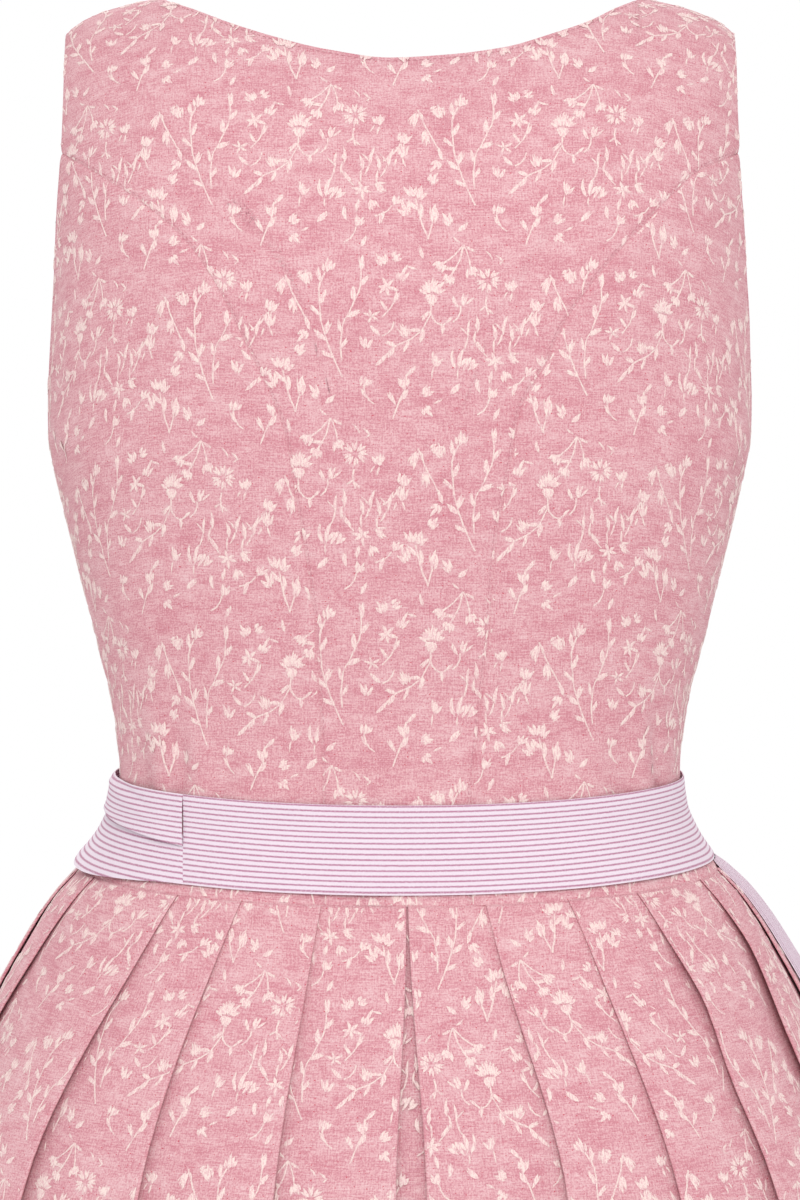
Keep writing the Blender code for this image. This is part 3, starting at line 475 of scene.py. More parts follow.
def jacquard_ground(name, dark, mid, light):
    """Rose linen-cotton: pale warp and pink weft of uneven thickness, with fine slubs."""
    m = Nodes(name, 0.84, sheen=0.08, sheen_rough=0.45)
    uv = m.cloth_uv()
    slub = m.noise(uv, 1.0, (14, 210, 1), 3.0, 0.62)
    warp = m.noise(uv, 1.0, (190, 16, 1), 2.0, 0.6, (3, 7, 0))
    grain = m.noise(uv, 120.0, (1, 1, 1), 2.0, 0.7)
    cloud = m.noise(uv, 1.0, (1.5, 5.5, 1), 3.0, 0.6, (5, 5, 0))
    blot = m.noise(uv, 1.0, (7, 16, 1), 2.0, 0.5, (1, 4, 0))
    weave = m.math("ADD", m.math("MULTIPLY", slub, 0.27), m.math("MULTIPLY", warp, 0.17))
    weave = m.math("ADD", weave, m.math("MULTIPLY", grain, 0.34))
    weave = m.math("ADD", weave, m.math("MULTIPLY", cloud, 0.08))
    weave = m.math("ADD", weave, m.math("MULTIPLY", blot, 0.14))
    low = m.range(weave, 0.42, 0.505)
    colour = m.mix(low, linear(*dark), linear(*mid))
    colour = m.mix(m.range(weave, 0.50, 0.60), colour, linear(*light))
    streak = m.noise(uv, 1.0, (26, 150, 1), 1.0, 0.5, (9, 1, 0))
    colour = m.mix(m.range(streak, 0.68, 0.80, 0.0, 0.55), colour, linear(200, 122, 136))
    knot = m.noise(uv, 1.0, (72, 110, 1), 1.0, 0.5, (2, 8, 0))
    colour = m.mix(m.range(knot, 0.765, 0.80), colour, linear(196, 72, 92))
    threads = m.put("ShaderNodeSeparateXYZ", {0: uv})
    over = m.math("SINE", m.math("MULTIPLY", threads.outputs[0], 2 * PI * 100 / 0.62))
    under = m.math("SINE", m.math("MULTIPLY", threads.outputs[1], 2 * PI * 100 / 0.54))
    canvas = m.math("MULTIPLY", m.math("MULTIPLY", over, under), 0.25)
    height = m.math("ADD", m.math("ADD", canvas, slub), m.math("MULTIPLY", warp, 0.8))
    m.bump(height, 0.00016)
    return m.colour(colour)


def jacquard_sprig(name, light, shade):
    """The off-white floats that draw the sprigs, with the ground's pink between the threads."""
    m = Nodes(name, 0.66, sheen=0.06, sheen_rough=0.4)
    uv = m.cloth_uv()
    threads = m.noise(uv, 1.0, (150, 34, 1), 2.0, 0.6)
    fine = m.noise(uv, 160.0, (1, 1, 1), 1.0, 0.5, (4, 4, 0))
    share = m.math("ADD", m.math("MULTIPLY", threads, 0.6), m.math("MULTIPLY", fine, 0.4))
    colour = m.mix(m.range(share, 0.40, 0.55), linear(*shade), linear(*light))
    m.bump(threads, 0.00012)
    return m.colour(colour)


def striped_cotton(name, axis, pitch=2.35, line=0.72, base=(231, 217, 228), dark=(178, 120, 147)):
    """Fine rose-lilac stripes on pale lavender, along the cloth (axis 1) or down it (axis 0)."""
    m = Nodes(name, 0.72, sheen=0.06)
    uv = m.cloth_uv()
    parts = m.put("ShaderNodeSeparateXYZ", {0: uv})
    wander = m.noise(uv, 1.0, (60, 60, 1), 2.0, 0.5)
    at = m.math("ADD", m.math("MULTIPLY", parts.outputs[axis], 100 / pitch), m.math("MULTIPLY", wander, 0.12))
    part = m.math("FRACT", at)
    off = m.math("ABSOLUTE", m.math("SUBTRACT", part, 0.5))
    half = line / pitch / 2
    stripe = m.range(off, half + 0.10, half - 0.08)
    broken = m.noise(uv, 1.0, (150, 150, 1), 1.0, 0.5, (7, 2, 0))
    stripe = m.math("MULTIPLY", stripe, m.range(broken, 0.25, 0.5, 0.62, 1.0))
    grain = m.noise(uv, 170.0, (1, 1, 1), 2.0, 0.6)
    pale = m.mix(m.range(grain, 0.3, 0.7), linear(*(c - 7 for c in base)), linear(*base))
    over = m.math("SINE", m.math("MULTIPLY", parts.outputs[0], 2 * PI * 100 / 0.5))
    under = m.math("SINE", m.math("MULTIPLY", parts.outputs[1], 2 * PI * 100 / 0.5))
    height = m.math("ADD", m.math("MULTIPLY", m.math("MULTIPLY", over, under), 0.3), grain)
    m.bump(height, 0.0001)
    return m.colour(m.mix(stripe, pale, linear(*dark)))


def plain_thread(name, rgb):
    m = Nodes(name, 0.6)
    uv = m.put("ShaderNodeTexCoord").outputs["Object"]
    twist = m.put("ShaderNodeTexNoise", {"Vector": uv, "Scale": 2600.0, "Detail": 1.0}).outputs["Fac"]
    m.bump(twist, 0.00005)
    return m.colour(m.mix(m.range(twist, 0.3, 0.7), linear(*(0.86 * c for c in rgb)), linear(*rgb)))


def shell_button(name):
    m = Nodes(name, 0.22)
    uv = m.put("ShaderNodeTexCoord").outputs["Object"]
    tex = m.put("ShaderNodeTexNoise", {"Vector": uv, "Scale": 260.0, "Detail": 3.0, "Distortion": 1.2}).outputs["Fac"]
    m.shader.inputs["Coat Weight"].default_value = 0.4
    m.bump(tex, 0.00006)
    return m.colour(m.mix(m.range(tex, 0.35, 0.65), linear(222, 206, 198), linear(247, 240, 233)))


GROUND = jacquard_ground("jacquard_ground", (200, 130, 142), (216, 161, 168), (227, 190, 193))
SPRIG = jacquard_sprig("jacquard_sprig", (234, 213, 207), (221, 178, 182))
STRIPES_LONG = striped_cotton("striped_cotton_long", 1)
STRIPES_DOWN = striped_cotton("striped_cotton_down", 0)
THREAD = plain_thread("pink_thread", (208, 142, 153))
PALE_THREAD = plain_thread("pale_thread", (226, 208, 218))
BUTTON = shell_button("button_shell")

# ---------------------------------------------------------------- the woven sprigs, charted

REPEAT_X, REPEAT_Y, REPEAT_SHIFT = 115.2, 78.3, 57.6
CHART_SEED = 11


class Chart:
    """One repeat of the weave's drawing: leaves, petals and stems as low ridges of ragged floats."""

    def __init__(self, plain=False):
        self.rng, self.plain = np.random.default_rng(CHART_SEED), plain
        self.points, self.heights, self.faces, self.count = [], [], [], 0

    def add(self, points, heights, faces):
        self.points.append(points)
        self.heights.append(heights)
        self.faces.append(np.asarray(faces) + self.count)
        self.count += len(points)

    def blade(self, x, y, turn, length, width, bend=0.0, ragged=0.24):
        """A pointed leaf from its foot; turn is in degrees from upright, clockwise; bend curves it to the right."""
        t = np.array([0, 0.24, 0.52, 0.8, 1.0])
        half = 0.41 * width * np.array([0, 0.85, 1, 0.6, 0])
        a = np.radians(turn) + np.radians(bend) * t
        step = np.diff(t, prepend=0) * length
        spine = np.stack([x + np.cumsum(step * np.sin(a)), y + np.cumsum(step * np.cos(a))], -1)
        side = np.stack([np.cos(a), -np.sin(a)], -1)
        wide = half[1:-1] * (1 + ragged * self.rng.uniform(-1, 1, (2, 3)))
        left = spine[1:-1] - side[1:-1] * wide[0][:, None]
        right = spine[1:-1] + side[1:-1] * wide[1][:, None]
        if self.plain:
            middle = spine[2]
            points = np.stack([spine[0], middle, spine[4], middle + 1.25 * (left[1] - middle) - 0.12 * (spine[4] - spine[0]), middle + 1.25 * (right[1] - middle) + 0.04 * (spine[4] - spine[0])])
            self.add(points, np.array([0.05, 0.30, 0.05, 0.0, 0.0]), [(0, 3, 1), (3, 2, 1), (2, 4, 1), (4, 0, 1)])
            return
        points = np.concatenate([spine, left, right])
        heights = np.array([0.05, 0.27, 0.30, 0.24, 0.05] + [0.0] * 6)
        faces = [(0, 5, 1), (0, 1, 8), (4, 3, 7), (4, 10, 3)]
        for k in (1, 2):
            faces += [(k, 4 + k, 5 + k), (k, 5 + k, k + 1), (k, k + 1, 8 + k), (k, 8 + k, 7 + k)]
        self.add(points, heights, faces)

    def leaf(self, x, y, turn, length, width, bend=0.0):
        """A leaf with a loose float beside it."""
        self.blade(x, y, turn, 0.92 * length, 1.12 * width, bend, 0.3)
        way = self.rng.choice((-1, 1))
        a = np.radians(turn)
        foot = 0.24 * length
        self.blade(x + foot * np.sin(a), y + foot * np.cos(a), turn + way * self.rng.uniform(12, 22), length * self.rng.uniform(0.5, 0.72), width * 0.5, bend - 8 * way)

    def tuft(self, x, y, turn, length, width, prongs=4, spread=11):
        """A ragged bell or bud: floats that start together and end apart."""
        a = np.radians(turn)
        ahead, beside = np.array([np.sin(a), np.cos(a)]), np.array([np.cos(a), -np.sin(a)])
        for k in range(prongs):
            share = 2 * k / (prongs - 1) - 1 if prongs > 1 else 0.0
            foot = np.array([x, y]) + beside * share * width * 0.27 + ahead * self.rng.uniform(-0.06, 0.2) * length
            self.blade(*foot, turn + spread * share + self.rng.uniform(-6, 6), length * (1 - 0.22 * abs(share)) * self.rng.uniform(0.55, 0.92), width / prongs * 1.5, 10 * share, 0.32)
        self.blade(x, y, turn + self.rng.uniform(-5, 5), length * 0.62, width * 0.55, 0.0, 0.32)

    def stem(self, points, width=0.74, step=2.6):
        points = np.asarray(points, float)
        length = np.linalg.norm(np.diff(points, axis=0), axis=1).sum()
        line = along(points, np.linspace(0, 1, max(int(length / step), 3) + 1)) if len(points) > 2 else np.linspace(points[0], points[1], 4)
        line = line + self.rng.normal(0, 0.09, line.shape)
        way = np.gradient(line, axis=0)
        way /= np.linalg.norm(way, axis=1, keepdims=True)
        side = np.stack([way[:, 1], -way[:, 0]], -1)
        half = width / 2 * (1 + 0.25 * self.rng.uniform(-1, 1, len(line)))[:, None]
        if self.plain:
            pick = np.unique(np.append(np.arange(0, len(line), 2), len(line) - 1))
            line, side, half = line[pick], side[pick], half[pick]
        n = len(line)
        pts = np.concatenate([line, line - side * half, line + side * half])
        heights = np.concatenate([np.full(n, 0.24), np.zeros(2 * n)])
        k = np.arange(n - 1)
        faces = np.concatenate([np.stack(f, -1) for f in ((k, n + k, n + k + 1), (k, n + k + 1, k + 1), (k, k + 1, 2 * n + k + 1), (k, 2 * n + k + 1, 2 * n + k))])
        self.add(pts, heights, faces)

    def daisy(self, x, y, size=4.6, turn=0.0, petals=8):
        for k in range(petals):
            a = turn + 360 * k / petals + self.rng.uniform(-7, 7)
            r = 1.3
            foot = (x + r * np.sin(np.radians(a)), y + r * np.cos(np.radians(a)))
            length = size * self.rng.uniform(0.9, 1.15)
            self.blade(*foot, a - 7, length, size * 0.36, -10)
            self.blade(*foot, a + 7, length * 0.9, size * 0.36, 10)

    def star(self, x, y, size=3.8, turn=0.0, points=5):
        for k in range(points):
            a = turn + 360 * k / points + self.rng.uniform(-12, 12)
            self.blade(x, y, a, size * self.rng.uniform(0.7, 1.25), size * 0.42)

    def leafy(self, points, leaves, width=0.74):
        """A stem with leaves: each is (share of the stem, side, angle from the stem, length, width)."""
        self.stem(points, width)
        line = along(points, np.linspace(0, 1, 60)) if len(points) > 2 else np.linspace(points[0], points[1], 60)
        way = np.gradient(line, axis=0)
        for share, side, angle, length, wide in leaves:
            k = int(share * 59)
            lead = np.degrees(np.arctan2(way[k, 0], way[k, 1]))
            self.leaf(*line[k], lead + side * angle, length, wide, -side * 14)

    def bells(self, x, y, turns, far, size=1.0):
        """Ragged bells on thin stems that meet at a point."""
        for turn, reach in zip(turns, far):
            a = np.radians(turn)
            end = np.array([x + reach * np.sin(a), y + reach * np.cos(a)])
            mid = np.array([x + 0.5 * reach * np.sin(a + 0.12), y + 0.5 * reach * np.cos(a + 0.12)])
            self.stem([(x, y), mid, end])
            self.tuft(*(end - 0.8 * np.array([np.sin(a), np.cos(a)])), turn, size * 7.2, size * 5.4, 4, 13)


def draw_chart(plain=False):
    c = Chart(plain)
    # an open flower with its curls, its side bud and a forked foot
    c.daisy(21, 61, 4.7, 8)
    c.blade(14.2, 69.0, 24, 5.2, 1.3, 34)
    c.blade(19.0, 70.2, 10, 5.6, 1.2, 40)
    c.blade(16.4, 68.2, -60, 3.4, 1.0, 30)
    c.tuft(10.2, 55.6, 12, 7.4, 4.8, 4, 11)
    c.blade(10.4, 55.4, 160, 4.6, 1.2, 10)
    c.blade(12.4, 55.8, 140, 3.8, 1.1, 14)
    c.stem([(21.4, 54.4), (22.0, 50.2), (20.8, 45.4)])
    c.leaf(21.8, 49.4, 128, 4.0, 1.2)
    c.leaf(21.4, 48.6, -138, 4.4, 1.3)
    # upright wavering leaves below it
    for x, y, turn, length, bend in ((6.5, 35.5, 4, 9.6, -30), (10.4, 33.0, -12, 8.8, 34), (14.2, 36.2, 10, 9.2, -34), (17.6, 33.4, -8, 8.0, 30), (25.6, 37.2, -14, 8.8, 30), (29.4, 34.6, 14, 8.6, -26)):
        c.blade(x, y, turn, length, 2.0, bend)
        c.blade(x + 0.5, y + 1.2, turn + 168, 7.2, 1.25, bend)
        c.blade(x + 0.9, y + 2.0, turn + 12, length * 0.55, 1.1, -bend)
    c.tuft(0.6, 39.6, 2, 8.6, 5.1, 5, 12)
    c.blade(0.6, 40.0, -166, 5.0, 1.2, 10)
    c.blade(3.0, 39.6, 168, 4.4, 1.2, -14)
    # small star flower with trailing leaves
    c.star(17.8, 24.4, 4.2, 12, 6)
    c.tuft(12.6, 27.0, -112, 6.8, 4.4, 4, 11)
    c.leaf(19.2, 20.4, 162, 7.0, 1.7, 12)
    c.tuft(14.4, 20.2, -160, 6.7, 4.2, 4, 10)
    c.leaf(22.4, 28.6, 48, 6.6, 1.8, -20)
    c.leaf(24.8, 23.4, 112, 6.4, 1.7, 16)
    c.tuft(28.2, 26.4, 152, 7.6, 4.8, 3, 10)
    c.stem([(21.4, 26.2), (25.0, 30.4), (27.4, 35.0)])
    # a long leaf pair that closes like tongs
    c.leaf(33.4, 21.0, 10, 10.4, 2.3, -34)
    c.leaf(34.8, 20.8, 44, 10.6, 2.1, -56)
    c.blade(34.0, 21.0, 172, 5.0, 0.9, 12)
    # hanging branch with drooping leaves, ending in a hook
    c.leafy([(45.5, 53.0), (46.0, 46.5), (48.8, 40.0), (54.6, 34.4), (61.0, 31.4), (66.4, 25.6)], [(0.16, -1, 42, 6.6, 1.7), (0.40, 1, 34, 7.6, 2.4), (0.44, -1, 56, 6.2, 2.2), (0.62, 1, 46, 6.8, 2.2), (0.78, -1, 60, 5.6, 2.0), (0.8, 1, 30, 6.6, 1.9), (0.93, 1, 4, 8.6, 2.4)])
    c.tuft(56.0, 35.4, 22, 8.1, 4.9, 5, 9)
    c.tuft(75.0, 12.6, -24, 7.4, 4.6, 4, 10)
    c.stem([(75.0, 12.8), (73.6, 8.2), (70.2, 5.0)])
    c.leaf(73.0, 7.6, 46, 6.2, 1.8, -20)
    c.leaf(41.2, 41.8, -150, 5.8, 1.8, -40)
    c.stem([(46.0, 47.0), (44.4, 42.8), (41.0, 40.6), (38.4, 42.4)])
    c.blade(38.8, 42.0, -34, 4.0, 1.6, -20)
    # the ragged flower at the branch's head
    c.tuft(44.6, 55.6, -50, 7.7, 4.8, 4, 11)
    c.tuft(46.0, 55.2, 34, 8.5, 5.3, 4, 12)
    c.tuft(45.2, 55.4, -6, 9.5, 4.8, 4, 9)
    c.tuft(44.6, 54.8, 152, 5.9, 4.2, 3, 15)
    c.tuft(46.2, 54.8, -160, 5.8, 3.6, 3, 12)
    # bells on stems that meet above
    c.bells(31.6, 77.4, (134, 158, 196), (12.5, 15.5, 11.0), 0.95)
    c.leaf(30.6, 76.6, -122, 5.0, 1.5)
    c.blade(33.0, 78.4, 64, 4.6, 1.3, -24)
    # two tall stems with alternate leaves
    c.leafy([(84.4, 25.0), (84.8, 31.0), (84.0, 40.0), (79.5, 50.0), (76.2, 59.5), (75.8, 66.5)], [(0.12, -1, 38, 6.4, 2.1), (0.30, 1, 30, 7.4, 2.2), (0.46, -1, 42, 7.6, 2.6), (0.66, 1, 36, 7.8, 2.5), (0.82, -1, 32, 6.8, 2.1), (0.97, 1, 6, 8.6, 2.5)])
    c.leafy([(84.0, 17.4), (87.0, 24.0), (91.0, 34.5), (93.6, 46.0), (94.2, 57.0), (91.4, 65.0)], [(0.20, 1, 42, 6.8, 2.1), (0.36, 1, 40, 8.6, 2.5), (0.42, -1, 36, 7.8, 2.4), (0.60, 1, 44, 7.0, 2.2), (0.70, -1, 34, 8.0, 2.5), (0.90, 1, 38, 7.8, 2.3)])
    c.tuft(90.8, 64.6, -14, 9.0, 5.1, 4, 10)
    c.tuft(98.2, 59.4, 22, 8.5, 4.4, 4, 9)
    c.star(71.4, 45.0, 3.6, 10, 5)
    c.tuft(99.2, 38.2, 138, 7.6, 3.9, 3, 9)
    # a sprig of two ringed leaves above a narrow foot
    c.leafy([(104.5, 1.5), (107.5, 10.0), (110.0, 20.5)], [(0.5, -1, 24, 8.4, 2.1), (0.72, 1, 38, 7.8, 2.2)])
    c.stem([(104.5, 1.5), (102.6, 9.6)])
    c.leaf(101.8, 8.8, -26, 9.6, 2.1, 40)
    c.leaf(102.8, 8.8, 8, 10.8, 2.2, -30)
    c.tuft(113.0, 12.6, 28, 9.0, 4.4, 3, 9)
    c.tuft(109.4, 20.8, -30, 8.6, 5.4, 4, 11)
    c.tuft(110.8, 21.2, 14, 8.6, 4.6, 3, 10)
    # a hanging twig with paired drooping leaves
    c.leafy([(108.8, 63.5), (106.5, 57.0), (103.0, 50.0), (100.4, 44.4)], [(0.05, 1, 14, 5.0, 1.6)])
    c.leaf(108.4, 62.4, 154, 9.6, 2.2, 16)
    c.leaf(109.4, 62.4, 138, 8.0, 1.9, 30)
    c.leaf(105.0, 53.6, -176, 8.8, 2.3, -10)
    c.leaf(105.6, 53.6, 158, 7.2, 2.0, 18)
    c.leaf(99.8, 45.2, 176, 7.6, 2.2, 30)
    c.tuft(103.6, 62.8, -84, 6.5, 4.6, 4, 10)
    # a curled bud on a long thread
    c.tuft(116.4, 47.0, -28, 8.5, 5.3, 4, 12)
    c.stem([(116.6, 46.6), (119.6, 41.6), (124.2, 38.2)])
    # small loose leaves and buds that fill the ground
    c.tuft(57.0, 11.0, 4, 9.2, 4.6, 4, 7)
    c.stem([(57.0, 11.4), (59.8, 5.6), (62.2, -1.5)])
    c.leaf(60.8, 4.6, 36, 7.6, 2.1, -18)
    c.leaf(58.6, 7.0, -44, 6.8, 1.9, 22)
    c.tuft(50.0, 9.6, -64, 7.2, 4.8, 4, 11)
    c.tuft(48.6, 3.6, -140, 6.3, 3.9, 3, 11)
    c.star(65.0, 58.2, 4.6, 22, 6)
    c.tuft(59.2, 61.0, -24, 8.1, 4.1, 3, 9)
    c.stem([(60.4, 56.4), (62.6, 49.4), (66.8, 44.6)])
    c.leaf(62.2, 50.8, -42, 6.4, 1.9, 20)
    c.leaf(64.2, 47.4, 50, 6.4, 1.9, -22)
    c.tuft(65.6, 68.2, 30, 7.7, 4.9, 4, 11)
    c.tuft(62.6, 70.2, -50, 6.5, 4.1, 3, 11)
    c.leaf(37.6, 9.4, -52, 7.6, 2.6, 18)
    c.blade(40.6, 7.4, 118, 4.6, 1.2)
    c.leaf(34.6, 66.0, 74, 5.8, 1.8, 24)
    c.leaf(91.6, 5.6, -64, 6.6, 2.2, 24)
    c.tuft(94.6, 8.2, 34, 7.7, 3.9, 3, 9)
    c.leaf(52.2, 22.6, 150, 7.0, 2.0, -16)
    c.tuft(44.4, 22.4, -20, 8.1, 4.2, 4, 9)
    c.blade(44.6, 22.2, 164, 6.0, 1.0, 14)
    c.leaf(67.6, 36.2, 58, 7.2, 2.2, -20)
    c.stem([(66.8, 36.0), (63.0, 38.4), (61.6, 42.4)])
    c.tuft(74.4, 30.0, -8, 7.7, 4.1, 3, 9)
    c.tuft(104.0, 28.0, -40, 7.6, 4.1, 3, 10)
    c.tuft(32.2, 49.4, -30, 7.4, 3.9, 3, 9)
    c.leaf(33.8, 48.6, 36, 6.8, 1.9, -20)
    c.stem([(32.6, 49.4), (33.2, 45.2), (36.2, 42.2)])
    c.leaf(8.4, 14.6, 150, 7.2, 2.1, 20)
    c.tuft(4.4, 17.2, -34, 7.4, 3.9, 3, 10)
    c.stem([(5.0, 17.0), (8.2, 13.6), (12.4, 12.4)])
    c.leaf(24.6, 10.2, 24, 7.6, 2.2, -22)
    c.tuft(20.4, 7.2, -22, 7.7, 4.2, 4, 10)
    c.stem([(20.6, 7.4), (22.2, 3.0), (25.6, 0.4)])
    c.leaf(76.4, 76.2, -36, 6.8, 2.0, 16)
    c.leaf(49.0, 70.8, 28, 6.8, 1.9, -24)
    c.blade(51.6, 66.0, 62, 4.8, 1.4, 18)
    return np.concatenate(c.points), np.concatenate(c.heights), np.concatenate(c.faces)


CHART, PLAIN_CHART = draw_chart(), draw_chart(True)


def woven(box, turn, place, chart=CHART):
    """The chart repeated over a box of cloth: points, heights, faces. turn and place set it on the piece."""
    points, heights, faces = chart
    a = np.radians(turn)
    spin = np.array([[np.cos(a), -np.sin(a)], [np.sin(a), np.cos(a)]])
    (x0, y0), (x1, y1) = box
    corners = np.array([(x0, y0), (x1, y0), (x1, y1), (x0, y1)]) - place
    local = corners @ spin
    low, high = local.min(0) - 60, local.max(0) + 60
    out_points, out_heights, out_faces, count = [], [], [], 0
    for row in range(int(low[1] // REPEAT_Y), int(high[1] // REPEAT_Y) + 1):
        shift = REPEAT_SHIFT * (row % 2)
        for column in range(int((low[0] - shift) // REPEAT_X), int((high[0] - shift) // REPEAT_X) + 1):
            p = (points + (column * REPEAT_X + shift, row * REPEAT_Y)) @ spin.T + place
            hit = (p[:, 0] > x0) & (p[:, 0] < x1) & (p[:, 1] > y0) & (p[:, 1] < y1)
            if not hit.any():
                continue
            keep = faces[hit[faces].any(1)]
            out_points.append(p)
            out_heights.append(heights)
            out_faces.append(keep + count)
            count += len(p)
    return np.concatenate(out_points), np.concatenate(out_heights), np.concatenate(out_faces)


def clip(points, heights, faces, margin):
    """Cuts the drawing where margin falls below nothing, so that it ends at the piece's edge."""
    values = np.concatenate([points, heights[:, None], margin[:, None]], 1)
    within = margin > 0
    count = within[faces].sum(1)
    parts, extra, total = [faces[count == 3]], [], len(values)
    for number in (1, 2):
        some = faces[count == number]
        if not len(some):
            continue
        lone = within[some] if number == 1 else ~within[some]
        turn = lone.argmax(1)
        row = np.arange(len(some))
        a, b, c = (some[row, (turn + k) % 3] for k in range(3))
        cut = []
        for other in (b, c):
            t = margin[a] / (margin[a] - margin[other])
            extra.append(values[a] + (values[other] - values[a]) * t[:, None])
            cut.append(total + np.arange(len(some)))
            total += len(some)
        if number == 1:
            parts.append(np.stack([a, cut[0], cut[1]], -1))
        else:
            parts += [np.stack([cut[0], b, c], -1), np.stack([cut[0], c, cut[1]], -1)]
    values = np.concatenate([values] + extra) if extra else values
    faces = np.concatenate(parts)
    used, back = np.unique(faces, return_inverse=True)
    return values[used, :2], values[used, 2], back.reshape(faces.shape)


# ---------------------------------------------------------------- bodice

DROPS = np.linspace(0, 470, 189)
ANGLES = np.linspace(0, PI / 2, 121)
ARC, TURN = {}, {}
for side in (1, -1):
    p = shell_point(ANGLES[None, :], DROPS[:, None], side)
    ARC[side] = np.concatenate([np.zeros((len(DROPS), 1)), np.cumsum(np.linalg.norm(np.diff(p, axis=1), axis=2), axis=1)], 1)
    share = np.linspace(0, 1, 241)
    TURN[side] = np.array([np.interp(share * row[-1], row, ANGLES) for row in ARC[side]])


def bilinear(table, r, c):
    r, c = np.clip(r, 0, table.shape[0] - 1.0001), np.clip(c, 0, table.shape[1] - 1.0001)
    i, j = r.astype(int), c.astype(int)
    a, b = r - i, c - j
    if table.ndim == 3:
        a, b = a[..., None], b[..., None]
    return table[i, j] * (1 - a) * (1 - b) + table[i + 1, j] * a * (1 - b) + table[i, j + 1] * (1 - a) * b + table[i + 1, j + 1] * a * b


def to_flat(angle, drop, side):
    """From the form's coordinates to the flat cloth's: across from the centre, down from the shoulder."""
    x = bilinear(ARC[side], drop / DROPS[1], np.abs(angle) / ANGLES[1])
    return np.stack([np.sign(angle) * x, -drop], -1)


def from_flat(flat, side):
    drop = -flat[..., 1]
    row = drop / DROPS[1]
    whole = bilinear(ARC[side], row, np.full(row.shape, len(ANGLES) - 1.0))
    share = np.abs(flat[..., 0]) / whole
    angle = bilinear(TURN[side], row, share * 240)
    return np.sign(flat[..., 0]) * angle, drop


# Creases: side (1 back, -1 front), how far out (in is negative), width, then the line as distance from the centre and height
CREASES = [
    (1, 1.95, 7.5, [(112, -292), (109, -315), (105.5, -332), (103, -347)]),
    (1, -2.21, 4.6, [(101, -303), (98.5, -322), (97.5, -335), (98, -350)]),
    (1, 1.69, 7.0, [(91, -308), (89, -325), (88, -338), (89, -352)]),
    (1, -1.43, 6.0, [(119, -318), (116, -330), (113, -342), (111, -352)]),
    (1, -0.78, 7.0, [(79, -318), (77, -336), (77, -352)]),
    (1, 0.91, 9.0, [(66, -322), (66, -340), (67, -352)]),
    (1, 1.82, 6.5, [(-106, -296), (-107, -315), (-108.5, -332), (-110, -348)]),
    (1, -2.08, 4.2, [(-113.5, -300), (-114.0, -318), (-114.5, -334), (-115.5, -348)]),
    (1, -1.04, 7.0, [(-96, -310), (-96, -328), (-98, -350)]),
    (1, 0.78, 8.0, [(-84, -318), (-84, -336), (-86, -352)]),
    (1, 1.04, 5.0, [(156, -180), (150, -189), (143, -197)]),
    (1, -1.04, 4.0, [(156, -188), (149, -197), (141, -205)]),
    (1, 0.91, 5.0, [(-156, -184), (-150, -193), (-144, -200)]),
    (1, -0.91, 4.0, [(-156, -192), (-149, -201), (-142, -208)]),
    (1, -0.45, 12.0, [(24, -320), (18, -348), (16, -385)]),
    (1, 0.39, 14.0, [(-6, -300), (-4, -345), (-2, -385)]),
    (-1, 1.69, 7.0, [(108, -300), (105, -322), (103, -348)]),
    (-1, -1.69, 5.0, [(98, -306), (96, -326), (95, -350)]),
    (-1, 1.56, 7.0, [(-106, -298), (-104, -322), (-102, -348)]),
    (-1, -1.82, 5.0, [(-97, -304), (-95, -325), (-94, -350)]),
    (-1, -0.91, 6.0, [(118, -182), (104, -196), (92, -206)]),
    (-1, 0.78, 7.0, [(122, -192), (108, -207), (95, -218)]),
    (-1, -0.91, 6.0, [(-119, -184), (-106, -197), (-94, -207)]),
    (-1, 0.78, 7.0, [(-122, -194), (-108, -209), (-96, -219)]),
    (-1, -0.78, 7.0, [(44, -328), (40, -350), (38, -388)]),
    (-1, 0.65, 8.0, [(-46, -326), (-42, -350), (-40, -388)]),
]


